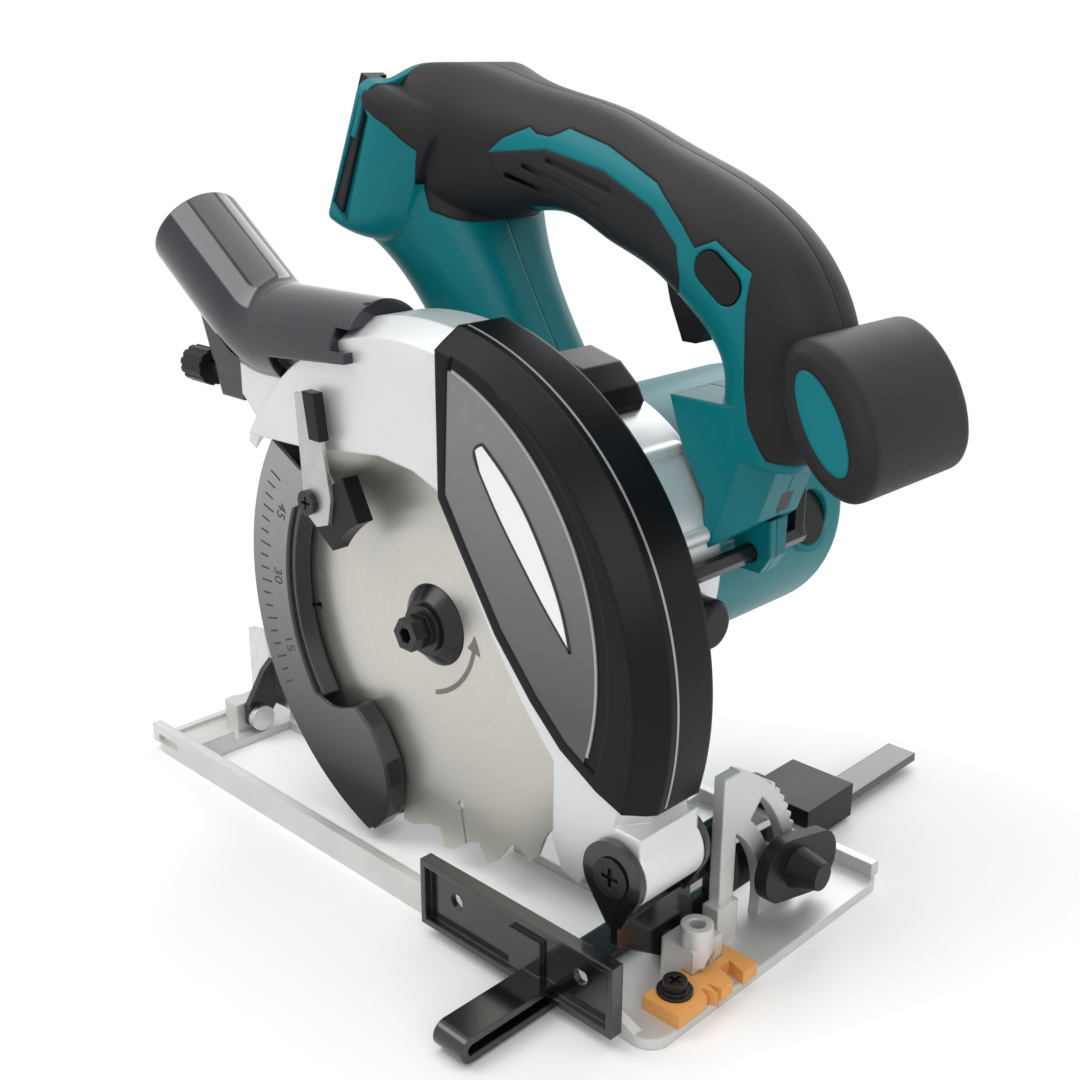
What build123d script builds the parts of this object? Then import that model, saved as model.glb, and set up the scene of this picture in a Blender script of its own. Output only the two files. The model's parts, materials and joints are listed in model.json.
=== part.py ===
"""Cordless circular saw with its base, bevel carriage, saw head, blade drive and rip fence.

+X points to the front of the saw, +Y to its left, +Z up. The origin lies on the sole, under
the motor and level with the blade axis. Sketch coordinates across the saw are measured from
the plane of the blade.
"""

import math
import os

from build123d import *

os.makedirs("parts", exist_ok=True)

# Blade and its place above the sole
BLADE_Y = -66.0
BLADE_R = 82.5
BLADE_BODY = 1.5
BLADE_BORE_R = 10.0
BLADE_TEETH = 24
TOOTH_DEPTH = 7.0
AXIS_Z = 88.3
AXIS = (0.0, AXIS_Z)

# Clearances
RUN = 0.05
FREE = 0.4
SEAT = 0.3

# Blade case and its cover
CASE_R = 101.0
CASE_FACE_R = CASE_R - 5.5
CASE_WALL = 3.5
SHOULDER = -4.0
NEAR_OUT = -13.5
NEAR_IN = -11.5
BACK_IN = 9.5
BACK_OUT = 12.5
COVER_WRAP = 2.5
COVER_R = CASE_R + COVER_WRAP
COVER_FACE_R = COVER_R - 6.0
COVER_SHOULDER = -6.0
COVER_OUT = -15.0
PANEL_CENTRE = (-2.0, AXIS_Z + 9.7)
PANEL_R = CASE_R - 16.2
BAND_W = 5.0
RECESS = 0.7
PANEL_T = 0.5

# Depth hinge
PIVOT = (CASE_R - 9.0, 42.0)
PIVOT_R = 4.0
LOBE_R = 11.0
CHEEK_T = 2.4
GUIDE_R = 160.0
GUIDE_W = 15.0
GUIDE_T = 2.5
GUIDE_Y = 17.0
GUIDE_LOW_DEG = -6.0
GUIDE_HIGH_DEG = 38.0
GUIDE_BOLT_DEG = 34.0
GUIDE_BOLT_R = 3.0

# Base casting
BASE_REAR = -143.5
QUAD_X = PIVOT[0] + 5.0
BASE_FRONT = QUAD_X + 20.5
BASE_RIGHT = -26.6
BASE_LEFT = 93.5
BASE_CORNER = 7.0
SOLE = 3.5
RAIL_H = 10.8
RAIL_W = 3.8
RAIL_FRONT = BASE_FRONT - 25.5
RIM_H = 8.4
RIM_W = 4.0
SLOT_REAR = -118.0
SLOT_FRONT = PIVOT[0] - 20.4
SLOT_RIGHT = -16.5
SLOT_LEFT = 21.0
GEAR_GAP_REAR = -34.0
GEAR_GAP_FRONT = 14.0
GEAR_GAP_LEFT = 40.0

# Bevel hinge and quadrant
BEVEL_Y = 8.5
BEVEL_Z = 9.5
PIVOT_PIN_R = 3.5
QUAD_T = 4.0
QUAD_OUT_R = 56.5
QUAD_IN_R = 37.5
QUAD_SLOT_R = 47.5
QUAD_SLOT_W = 8.2
QUAD_TOP_DEG = 66.0
BOLT_DEG = 14.0
BEVEL_MAX = 25.0
QUAD_TEETH = 9

# Lower guard
GUARD_R = 88.0
GUARD_WALL = 1.7
GUARD_OUT = -10.2
GUARD_IN = -8.7
GUARD_BACK = 7.5
GUARD_BACK_IN = 6.0
GUARD_BAND_R = 68.5
GUARD_TOP_DEG = 145.0
GUARD_END_DEG = 252.0
GUARD_HUB_R = 25.0

# Spindle, gears and motor
SPINDLE_R = 6.0
BEARING_R = 11.0
BOSS_R = 16.0
GEAR_MODULE = 1.0
GEAR_TEETH = 39
PINION_TEETH = 9
GEAR_FRONT = 17.0
GEAR_BACK = 27.0
MOTOR_DEG = 41.3
CENTRE_GAP = GEAR_MODULE * (GEAR_TEETH + PINION_TEETH) / 2
MOTOR = (
    CENTRE_GAP * math.cos(math.radians(MOTOR_DEG)),
    AXIS_Z + CENTRE_GAP * math.sin(math.radians(MOTOR_DEG)),
)
FLANGE_R = 14.0
FLANGE_OUT = -5.0
BOLT_AF = 10.0
BOLT_END = -13.5
BOLT_R = 3.0
SHAFT_R = 3.5
CORE_R = 17.0
FIELD_R = 26.0
FIELD_IN_R = 18.0

# Housings
GEAR_CASE_R = 24.0
GEAR_CASE_BACK = 36.0
BARREL = (38.0, 121.0)
BARREL_R = 43.0
GEAR_BARREL_R = 48.5
MOTOR_CASE_R = 33.0
MOTOR_END = 112.0
SHELL = 2.5
COMMUTATOR_Y = 91.0
BRUSH_DEG = 16.6
CAP_R = 9.0

# Handle
HANDLE_Y = 48.0
GRIP_W = 36.0
GRIP_H = 32.0
HOLDER_HALF = 41.0
KNOB = (127.0, 175.0)
KNOB_LONG = 22.8
KNOB_SHORT = 12.0
KNOB_TILT = -60.0
KNOB_HALF = 27.0

# Rip fence
BAR_X0 = SLOT_FRONT + 0.6
BAR_X1 = BAR_X0 + 11.8
BAR_Z0 = 4.0
BAR_T = 3.2
BAR_END = 172.0
FENCE_X0 = BAR_X0 - 44.2
FENCE_X1 = FENCE_X0 + 80.0
FENCE_Z0 = 4.5
FENCE_Z1 = 27.5
FENCE_NEAR = -33.6
FENCE_BACK = -29.0
FENCE_T = 2.0
LOOP_END = -68.0


def side(y):
    """Plane across the saw: local x is forward, local y is up, extrusions go to the right."""
    return Plane(origin=(0, BLADE_Y + y, 0), x_dir=(1, 0, 0), z_dir=(0, -1, 0))


def plan(z):
    """Level plane: local x is forward, local y is to the left."""
    return Plane(origin=(0, BLADE_Y, z), x_dir=(1, 0, 0), z_dir=(0, 0, 1))


def front(x):
    """Upright plane facing forward: local x is to the left, local y is up."""
    return Plane(origin=(x, BLADE_Y, 0), x_dir=(0, 1, 0), z_dir=(1, 0, 0))


def polar(centre, radius, degrees):
    """Point at a radius and an angle from a centre."""
    turn = math.radians(degrees)
    return (centre[0] + radius * math.cos(turn), centre[1] + radius * math.sin(turn))


def prism(points, y_near, y_far, mode=Mode.ADD):
    """Outline in the side view, carried from one distance across the saw to another."""
    with BuildSketch(side(y_far)) as outline:
        Polygon(*points, align=None)
    extrude(outline.sketch, amount=y_far - y_near, mode=mode)


def disc(centre, radius, y_near, y_far, mode=Mode.ADD):
    """Round bar along Y."""
    with BuildSketch(side(y_far)) as outline:
        with Locations(centre):
            Circle(radius)
    extrude(outline.sketch, amount=y_far - y_near, mode=mode)


def taper(centre, near_radius, far_radius, y_near, y_far, mode=Mode.ADD):
    """Round bar along Y that changes its radius evenly."""
    with BuildSketch(side(y_near)) as near_end:
        with Locations(centre):
            Circle(near_radius)
    with BuildSketch(side(y_far)) as far_end:
        with Locations(centre):
            Circle(far_radius)
    loft([near_end.sketch, far_end.sketch], mode=mode)


def hull_prism(centre_a, radius_a, centre_b, radius_b, y_near, y_far, mode=Mode.ADD):
    """Two round ends and their common tangents, carried across the saw."""
    with BuildSketch(side(y_far)) as outline:
        with Locations(centre_a):
            Circle(radius_a)
        with Locations(centre_b):
            Circle(radius_b)
        make_hull(outline.edges())
    extrude(outline.sketch, amount=y_far - y_near, mode=mode)


def sector(centre, inner, outer, start_deg, end_deg, y_near, y_far, mode=Mode.ADD):
    """Ring sector about a centre in the side view."""
    span = end_deg - start_deg
    with BuildSketch(side(y_far)) as outline:
        with BuildLine():
            CenterArc(centre, outer, start_deg, span)
            Line(polar(centre, outer, end_deg), polar(centre, inner, end_deg))
            CenterArc(centre, inner, end_deg, -span)
            Line(polar(centre, inner, start_deg), polar(centre, outer, start_deg))
        make_face()
    extrude(outline.sketch, amount=y_far - y_near, mode=mode)


def block(x, y, z, mode=Mode.ADD):
    """Box between pairs of limits along X, across the saw and along Z."""
    with BuildSketch(plan(z[0])) as outline:
        with Locations(((x[0] + x[1]) / 2, (y[0] + y[1]) / 2)):
            Rectangle(x[1] - x[0], y[1] - y[0])
    extrude(outline.sketch, amount=z[1] - z[0], mode=mode)


def rod_x(y, z, radius, x_start, x_end, mode=Mode.ADD):
    """Round bar along X."""
    with BuildSketch(front(x_start)) as outline:
        with Locations((y, z)):
            Circle(radius)
    extrude(outline.sketch, amount=x_end - x_start, mode=mode)


def rod_z(x, y, radius, z_start, z_end, mode=Mode.ADD):
    """Round bar along Z."""
    with BuildSketch(plan(z_start)) as outline:
        with Locations((x, y)):
            Circle(radius)
    extrude(outline.sketch, amount=z_end - z_start, mode=mode)


def arm(start, end, radius, y, length_from, length_to, mode=Mode.ADD):
    """Round bar along the line from start to end in the side view, between two distances."""
    span = math.dist(start, end)
    along = Vector((end[0] - start[0]) / span, 0, (end[1] - start[1]) / span)
    foot = Vector(start[0], BLADE_Y + y, start[1])
    plane = Plane(origin=foot + along * length_from, x_dir=(0, 1, 0), z_dir=along)
    with BuildSketch(plane) as outline:
        Circle(radius)
    extrude(outline.sketch, amount=length_to - length_from, mode=mode)


def write(part, name):
    """Label a finished piece and write its file."""
    part.label = name
    export_step(part, f"parts/{name}.step")


# Base plate with rail, rim, quadrant, boss and fence bridge
QUAD_CENTRE = (BEVEL_Y, BEVEL_Z)
PILLAR_Y = 24.0
PILLAR_W = 7.0
PILLAR_TOP = 60.5
BOSS_X = QUAD_X + 12.0
BOSS_HOLE_X = QUAD_X + 9.2
BOSS_TOP = 22.0
REAR_LUG_X0 = -132.0
REAR_LUG_X1 = -124.0
REAR_BRACKET_T = 3.0
TUNNEL = 0.4

with BuildPart() as base_plate:
    with BuildSketch(plan(0)):
        with Locations(((BASE_REAR + BASE_FRONT) / 2, (BASE_RIGHT + BASE_LEFT) / 2)):
            RectangleRounded(BASE_FRONT - BASE_REAR, BASE_LEFT - BASE_RIGHT, BASE_CORNER)
    extrude(amount=SOLE)
    block((SLOT_REAR, SLOT_FRONT), (SLOT_RIGHT, SLOT_LEFT), (0, SOLE), Mode.SUBTRACT)
    gap_y = (SLOT_LEFT, GEAR_GAP_LEFT)
    block((GEAR_GAP_REAR, GEAR_GAP_FRONT), gap_y, (0, SOLE), Mode.SUBTRACT)
    # right rail, falling away at the front
    rail_side = [
        (BASE_REAR, SOLE),
        (BASE_REAR, RAIL_H),
        (RAIL_FRONT, RAIL_H),
        (BASE_FRONT - BASE_CORNER, SOLE),
    ]
    prism(rail_side, BASE_RIGHT, BASE_RIGHT + RAIL_W)
    block(
        (BASE_REAR + BASE_CORNER, RAIL_FRONT),
        (BASE_RIGHT + RAIL_W, BASE_RIGHT + RAIL_W + 2.2),
        (SOLE, SOLE + 2.6),
    )
    # left rim and rear cross piece
    rim_x = (BASE_REAR + BASE_CORNER, BASE_FRONT - 2)
    block(rim_x, (BASE_LEFT - RIM_W, BASE_LEFT), (SOLE, RIM_H))
    block((BASE_REAR, BASE_REAR + 4), (BEVEL_Y + 9, BASE_LEFT - RIM_W), (SOLE, RIM_H))
    block((BASE_REAR, BASE_REAR + 3), (BASE_RIGHT, BEVEL_Y + 9), (SOLE, SOLE + 1.5))
    cross_x = (SLOT_REAR - 4, SLOT_REAR)
    block(cross_x, (BASE_RIGHT + RAIL_W, BEVEL_Y - 14), (SOLE, RIM_H))
    block(cross_x, (BEVEL_Y + 16, BASE_LEFT - RIM_W), (SOLE, RIM_H))
    # stiffening ribs on the left plate
    for rib_x in (SLOT_REAR + 40, GEAR_GAP_FRONT + 26):
        block((rib_x, rib_x + 3), (GEAR_GAP_LEFT + 2, BASE_LEFT - RIM_W), (SOLE, SOLE + 3))
    # bevel quadrant: pillar, toothed arc and its slot
    with BuildSketch(front(QUAD_X)):
        with BuildLine():
            CenterArc(QUAD_CENTRE, QUAD_OUT_R, -12, QUAD_TOP_DEG + 12)
            Line(
                polar(QUAD_CENTRE, QUAD_OUT_R, QUAD_TOP_DEG),
                polar(QUAD_CENTRE, QUAD_IN_R, QUAD_TOP_DEG),
            )
            CenterArc(QUAD_CENTRE, QUAD_IN_R, QUAD_TOP_DEG, -12 - QUAD_TOP_DEG)
            Line(polar(QUAD_CENTRE, QUAD_IN_R, -12), polar(QUAD_CENTRE, QUAD_OUT_R, -12))
        make_face()
        with Locations((PILLAR_Y + PILLAR_W / 2, PILLAR_TOP / 2)):
            Rectangle(PILLAR_W, PILLAR_TOP)
        with BuildLine():
            slot_out = QUAD_SLOT_R + QUAD_SLOT_W / 2
            slot_in = QUAD_SLOT_R - QUAD_SLOT_W / 2
            slot_low = BOLT_DEG - 6
            slot_high = BOLT_DEG + BEVEL_MAX + 8
            CenterArc(QUAD_CENTRE, slot_out, slot_low, slot_high - slot_low)
            Line(polar(QUAD_CENTRE, slot_out, slot_high), polar(QUAD_CENTRE, slot_in, slot_high))
            CenterArc(QUAD_CENTRE, slot_in, slot_high, slot_low - slot_high)
            Line(polar(QUAD_CENTRE, slot_in, slot_low), polar(QUAD_CENTRE, slot_out, slot_low))
        make_face(mode=Mode.SUBTRACT)
    extrude(amount=QUAD_T)
    block((QUAD_X - 1, QUAD_X + QUAD_T + 1), (-60, 120), (-40, 0), Mode.SUBTRACT)
    for step in range(QUAD_TEETH):
        tooth = polar(QUAD_CENTRE, QUAD_OUT_R, 8 + 4.5 * step)
        rod_x(tooth[0], tooth[1], 1.3, QUAD_X, QUAD_X + QUAD_T)
    # pillar foot and web to the front
    block((QUAD_X, QUAD_X + 6), (PILLAR_Y - 3, PILLAR_Y + PILLAR_W), (SOLE, SOLE + 14))
    # two-way boss: bevel pin bore along X, threaded hole along Z
    block((QUAD_X, BOSS_X), (BEVEL_Y - 7, BEVEL_Y + 7), (SOLE, BEVEL_Z + 6))
    rod_z(BOSS_HOLE_X, BEVEL_Y - 2, 5.0, BEVEL_Z, BOSS_TOP)
    rod_x(BEVEL_Y, BEVEL_Z, PIVOT_PIN_R + RUN, QUAD_X - 2, BOSS_X + 4, Mode.SUBTRACT)
    rod_z(BOSS_HOLE_X, BEVEL_Y - 2, 2.5, BEVEL_Z + 5, BOSS_TOP + 1, Mode.SUBTRACT)
    # rear lug for the rear bevel pin
    block((REAR_LUG_X0, REAR_LUG_X1), (BEVEL_Y - 8, BEVEL_Y + 5), (SOLE, BEVEL_Z + 6))
    rod_z(REAR_LUG_X0 - 4, BEVEL_Y, 5.0, SOLE, RIM_H + 3)
    rod_x(BEVEL_Y, BEVEL_Z, PIVOT_PIN_R + RUN, REAR_LUG_X0 - 1, REAR_LUG_X1 + 1, Mode.SUBTRACT)
    rod_z(REAR_LUG_X0 - 4.5, BEVEL_Y, 2.1, SOLE, RIM_H + 4, Mode.SUBTRACT)
    # windows for the fence bar in the rail and the rim
    tunnel_x = (BAR_X0 - TUNNEL, BAR_X1 + TUNNEL)
    tunnel_z = (SOLE, BAR_Z0 + BAR_T + TUNNEL)
    block(tunnel_x, (BASE_LEFT - RIM_W - 1, BASE_LEFT + 1), tunnel_z, Mode.SUBTRACT)
    block(tunnel_x, (BASE_RIGHT - 1, BASE_RIGHT + RAIL_W + 3), tunnel_z, Mode.SUBTRACT)
    # rear slot in the rail, for a fence bar
    with BuildSketch(side(BASE_RIGHT + RAIL_W + 3)):
        with Locations((BASE_REAR + 11, SOLE + 2.2)):
            SlotOverall(14, 3.6)
    extrude(amount=RAIL_W + 4, mode=Mode.SUBTRACT)
    # threaded seat of the sight guide screw
    GUIDE_SCREW_X = BASE_FRONT - 7.5
    GUIDE_SCREW_Y = -8.0
    rod_z(GUIDE_SCREW_X, GUIDE_SCREW_Y, 2.0, -1, SOLE + 1, Mode.SUBTRACT)
write(base_plate.part, "base_plate")

# Sight guide on the front edge
GUIDE_TOP = SOLE + 4.5
GUIDE_BACK_X = BASE_FRONT - 12.9
sight_outline = [
    (GUIDE_BACK_X, -16),
    (GUIDE_BACK_X, 20),
    (BASE_FRONT + 1.5, 20),
    (BASE_FRONT + 1.5, 13),
    (BASE_FRONT - 5, 15),
    (BASE_FRONT - 5, 10),
    (BASE_FRONT + 1.5, 8),
    (BASE_FRONT + 1.5, 2.5),
    (BASE_FRONT - 3, 1.5),
    (BASE_FRONT + 2.5, 0),
    (BASE_FRONT - 3, -1.5),
    (BASE_FRONT + 0.5, -3),
    (BASE_FRONT + 0.5, -16),
]
with BuildPart() as sight_guide:
    with BuildSketch(plan(SOLE)):
        Polygon(*sight_outline, align=None)
    extrude(amount=GUIDE_TOP - SOLE)
    rod_z(GUIDE_SCREW_X, GUIDE_SCREW_Y, 2.3, SOLE, GUIDE_TOP, Mode.SUBTRACT)
    boss_x = (QUAD_X, BOSS_X + SEAT)
    block(boss_x, (BEVEL_Y - 7 - SEAT, BEVEL_Y + 7 + SEAT), (0, BOSS_TOP), Mode.SUBTRACT)
write(sight_guide.part, "sight_guide")

with BuildPart() as sight_guide_screw:
    rod_z(GUIDE_SCREW_X, GUIDE_SCREW_Y, 1.9, 0.5, GUIDE_TOP)
    rod_z(GUIDE_SCREW_X, GUIDE_SCREW_Y, 5.4, GUIDE_TOP, GUIDE_TOP + 1.0)
    rod_z(GUIDE_SCREW_X, GUIDE_SCREW_Y, 3.6, GUIDE_TOP + 1.0, GUIDE_TOP + 4.2)
    for turn in (0, 90):
        with BuildSketch(plan(GUIDE_TOP + 2.6)):
            with Locations(Location((GUIDE_SCREW_X, GUIDE_SCREW_Y), turn)):
                Rectangle(4.6, 1.1)
        extrude(amount=2, mode=Mode.SUBTRACT)
write(sight_guide_screw.part, "sight_guide_screw")

# Bevel carriage: front bracket, rear bracket, depth guide and pins
BRACKET_X = QUAD_X - 2 - 3.0
BRACKET_T = 3.0
RIGHT_CHEEK = NEAR_OUT - 0.6 - CHEEK_T
LEFT_CHEEK = BACK_OUT + 0.6
BOLT_PLACE = polar(QUAD_CENTRE, QUAD_SLOT_R, BOLT_DEG)
bracket_face = [
    (BEVEL_Y - 2, SOLE + 1.2),
    (34, SOLE + 1.2),
    (34, 12),
    (BOLT_PLACE[0] + 7, 12),
    (BOLT_PLACE[0] + 7, 28),
    (34, 30),
    (32, 42),
    (LEFT_CHEEK, 42),
    (LEFT_CHEEK, 27),
    (RIGHT_CHEEK, 27),
    (RIGHT_CHEEK, 20),
]
with BuildPart() as front_bracket:
    with BuildSketch(front(BRACKET_X)):
        Polygon(*bracket_face, align=None)
        with Locations((22, 22)):
            Rectangle(10, 6, mode=Mode.SUBTRACT)
        with Locations((BEVEL_Y, BEVEL_Z)):
            Circle(PIVOT_PIN_R + RUN, mode=Mode.SUBTRACT)
        with Locations(BOLT_PLACE):
            Circle(3.05, mode=Mode.SUBTRACT)
    extrude(amount=BRACKET_T)
    for cheek in (RIGHT_CHEEK, LEFT_CHEEK):
        hull_prism(PIVOT, LOBE_R, (BRACKET_X + 1, 29), 4.0, cheek, cheek + CHEEK_T)
    disc(PIVOT, PIVOT_R + RUN, RIGHT_CHEEK, LEFT_CHEEK + CHEEK_T + 1, Mode.SUBTRACT)
write(front_bracket.part, "front_bracket")

REAR_BRACKET_X = REAR_LUG_X1 + SEAT
rear_face = [
    (BEVEL_Y - 4.6, BEVEL_Z - 2.8),
    (BEVEL_Y + 3, BEVEL_Z - 4.5),
    (GUIDE_Y, 12),
    (GUIDE_Y, 32),
    (BEVEL_Y + 4, 28),
    (BEVEL_Y - 4.6, BEVEL_Z + 5),
]
with BuildPart() as rear_bracket:
    with BuildSketch(front(REAR_BRACKET_X)):
        Polygon(*rear_face, align=None)
        with Locations((BEVEL_Y, BEVEL_Z)):
            Circle(PIVOT_PIN_R + RUN, mode=Mode.SUBTRACT)
    extrude(amount=REAR_BRACKET_T)
write(rear_bracket.part, "rear_bracket")

GUIDE_IN_R = GUIDE_R - GUIDE_W / 2
GUIDE_OUT_R = GUIDE_R + GUIDE_W / 2
with BuildPart() as depth_guide:
    guide_start = 180 - GUIDE_HIGH_DEG
    guide_end = 180 - GUIDE_LOW_DEG
    guide_far = GUIDE_Y + GUIDE_T
    sector(PIVOT, GUIDE_IN_R, GUIDE_OUT_R, guide_start, guide_end, GUIDE_Y, guide_far)
    tail = [(-137, 12), (-137, 41), (-126, 43), (-123, 30), (-68, 30), (-60, 22), (-62, 14)]
    prism(tail, GUIDE_Y, guide_far)
    slot_half = GUIDE_BOLT_R + 0.4
    sector(
        PIVOT,
        GUIDE_R - slot_half,
        GUIDE_R + slot_half,
        guide_start + 1.8,
        guide_end - 1.2,
        GUIDE_Y - 1,
        guide_far + 1,
        Mode.SUBTRACT,
    )
write(depth_guide.part, "depth_guide")

with BuildPart() as bevel_pins:
    front_head = BRACKET_X - SEAT - 2.5
    rod_x(BEVEL_Y, BEVEL_Z, PIVOT_PIN_R, front_head, BOSS_X - 1)
    rod_x(BEVEL_Y, BEVEL_Z, 5.2, front_head, BRACKET_X - SEAT)
    rear_head = REAR_BRACKET_X + REAR_BRACKET_T + SEAT
    rod_x(BEVEL_Y, BEVEL_Z, PIVOT_PIN_R, REAR_LUG_X0, rear_head + 2.5)
    rod_x(BEVEL_Y, BEVEL_Z, 5.2, rear_head, rear_head + 3.0)
write(bevel_pins.part, "bevel_pins")

with BuildPart() as depth_pin:
    pin_end = RIGHT_CHEEK - 0.2
    disc(PIVOT, PIVOT_R, pin_end, LEFT_CHEEK + CHEEK_T)
    disc(PIVOT, 6.2, pin_end - 0.6, pin_end)
    for turn in (0, 90):
        with BuildSketch(side(pin_end + 1.0)):
            with Locations(Location(PIVOT, turn)):
                Rectangle(6.4, 1.4)
        extrude(amount=3, mode=Mode.SUBTRACT)
write(depth_pin.part, "depth_pin")

with BuildPart() as bevel_bolt:
    rod_x(BOLT_PLACE[0], BOLT_PLACE[1], 3.0, BRACKET_X, QUAD_X + QUAD_T + 12)
    rod_x(BOLT_PLACE[0], BOLT_PLACE[1], 5.5, BRACKET_X - 3, BRACKET_X)
write(bevel_bolt.part, "bevel_bolt")

# Bevel thumb knob: oval wing and a tapered hub
WING_LONG = 40.0
WING_WIDE = 21.0
WING_X = QUAD_X + QUAD_T + 0.6
WING_TILT = -14.0
with BuildPart() as bevel_knob:
    rod_x(BOLT_PLACE[0], BOLT_PLACE[1], 7.5, WING_X, WING_X + 3.0)
    with BuildSketch(front(WING_X + 3.0)):
        with Locations(Location((BOLT_PLACE[0] + 2, BOLT_PLACE[1] - 1), WING_TILT)):
            SlotOverall(WING_LONG, WING_WIDE)
    extrude(amount=4.5)
    hub = front(WING_X + 7.5)
    with BuildSketch(hub):
        with Locations(BOLT_PLACE):
            Circle(7.2)
    with BuildSketch(hub.offset(9.0)):
        with Locations(BOLT_PLACE):
            Circle(4.6)
    loft()
    rod_x(BOLT_PLACE[0], BOLT_PLACE[1], 3.0 + RUN, WING_X - 1, WING_X + 12, Mode.SUBTRACT)
write(bevel_knob.part, "bevel_knob")

# Rip fence: flanged plate, hairpin loop and bar, with its end block
FENCE_MID_Z = BAR_Z0 + BAR_T / 2
LOOP_H = 8.4
with BuildPart() as rip_fence:
    block((FENCE_X0, FENCE_X1), (FENCE_BACK - FENCE_T, FENCE_BACK), (FENCE_Z0, FENCE_Z1))
    for rim_z in (FENCE_Z0, FENCE_Z1 - FENCE_T):
        block((FENCE_X0, FENCE_X1), (FENCE_NEAR, FENCE_BACK), (rim_z, rim_z + FENCE_T))
    for rim_x in (FENCE_X0, FENCE_X1 - FENCE_T):
        block((rim_x, rim_x + FENCE_T), (FENCE_NEAR, FENCE_BACK), (FENCE_Z0, FENCE_Z1))
    fence_holes = ((FENCE_X0 + FENCE_X1) / 2 - 26, (FENCE_X0 + FENCE_X1) / 2 + 26)
    for hole_x in fence_holes:
        disc((hole_x, 17), 2.6, FENCE_NEAR, FENCE_BACK + 1, Mode.SUBTRACT)
    block((BAR_X0 - 6, BAR_X0 + 7), (FENCE_BACK - 3.5, FENCE_BACK), (FENCE_Z0 + FENCE_T, 21))
    block((BAR_X0, BAR_X1), (FENCE_BACK, BAR_END), (BAR_Z0, BAR_Z0 + BAR_T))
    # hairpin: an upper and a lower run joined by a round end
    loop_low = 1.0
    with BuildSketch(Plane.YZ.offset(BAR_X0)):
        with BuildLine():
            loop_far = BLADE_Y + LOOP_END
            loop_near = BLADE_Y + FENCE_NEAR + 4.8
            Polyline(
                (loop_near, loop_low + LOOP_H),
                (loop_far + LOOP_H / 2, loop_low + LOOP_H),
            )
            ThreePointArc(
                (loop_far + LOOP_H / 2, loop_low + LOOP_H),
                (loop_far, loop_low + LOOP_H / 2),
                (loop_far + LOOP_H / 2, loop_low),
            )
            Polyline(
                (loop_far + LOOP_H / 2, loop_low),
                (loop_near, loop_low),
                (loop_near, loop_low + 2.4),
                (loop_far + LOOP_H / 2, loop_low + 2.4),
            )
            ThreePointArc(
                (loop_far + LOOP_H / 2, loop_low + 2.4),
                (loop_far + 2.4, loop_low + LOOP_H / 2),
                (loop_far + LOOP_H / 2, loop_low + LOOP_H - 2.4),
            )
            Polyline(
                (loop_far + LOOP_H / 2, loop_low + LOOP_H - 2.4),
                (loop_near, loop_low + LOOP_H - 2.4),
                (loop_near, loop_low + LOOP_H),
            )
        make_face()
    extrude(amount=BAR_X1 - BAR_X0)
write(rip_fence.part, "rip_fence")

# Bar clamp on the left rim and its wing screw
CLAMP_X0 = BAR_X0 - 11.4
CLAMP_Y1 = 122.0
CLAMP_SCREW_Y = 109.0
CLAMP_SCREW_R = 2.5
with BuildPart() as bar_clamp:
    block((CLAMP_X0, BAR_X1 + 3), (BASE_LEFT, CLAMP_Y1), (2.0, 15.0))
    clamp_z = (BAR_Z0 - TUNNEL, BAR_Z0 + BAR_T + TUNNEL)
    block(tunnel_x, (BASE_LEFT - 1, CLAMP_Y1 + 1), clamp_z, Mode.SUBTRACT)
    rod_x(CLAMP_SCREW_Y, FENCE_MID_Z, CLAMP_SCREW_R + RUN, CLAMP_X0 - 1, BAR_X0, Mode.SUBTRACT)
write(bar_clamp.part, "bar_clamp")

with BuildPart() as fence_clamp_screw:
    rod_x(CLAMP_SCREW_Y, FENCE_MID_Z, CLAMP_SCREW_R, CLAMP_X0 - 6, BAR_X0 - SEAT)
    rod_x(CLAMP_SCREW_Y, FENCE_MID_Z, 5.2, CLAMP_X0 - 9, CLAMP_X0 - SEAT)
    for knurl in range(10):
        groove = polar((CLAMP_SCREW_Y, FENCE_MID_Z), 5.6, 36 * knurl)
        rod_x(groove[0], groove[1], 0.9, CLAMP_X0 - 10, CLAMP_X0, Mode.SUBTRACT)
write(fence_clamp_screw.part, "fence_clamp_screw")

# Blade case: walls, rim, lobe, bearing boss and nozzle lug
near_mouth = [
    (-130, 138),
    (-52, 141),
    (-33, 143),
    (-10, 146),
    (6, 144.5),
    (18.5, 140),
    (28, 121),
    (41, 99),
    (52.5, 83),
    (66, 68),
    (66, 42),
    (70, 33),
    (90, 28),
    (130, 20),
    (130, -40),
    (-130, -40),
]
back_mouth = [
    (-130, 150),
    (-87, 126),
    (-24, 80),
    (0, 62),
    (30, 50),
    (62, 36),
    (90, 28),
    (130, 20),
    (130, -40),
    (-130, -40),
]
RIM_LOW_DEG = -24.0
RIM_HIGH_DEG = 150.0
LOBE_TOP = 56.0
CLAMP = polar(PIVOT, GUIDE_R, 180 - GUIDE_BOLT_DEG)
NOZZLE_SCREW_Y = -7.5
NOZZLE_SCREW_Z = 158.0
NOZZLE_SCREW_R = 2.5
NOZZLE_Y = 0.0
NOZZLE_Z = 174.0
PORT_R = 9.0
lug_side = [(-66, 148), (-78, 146), (-86, 153), (-86, 165), (-78, 168), (-60, 162)]
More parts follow.
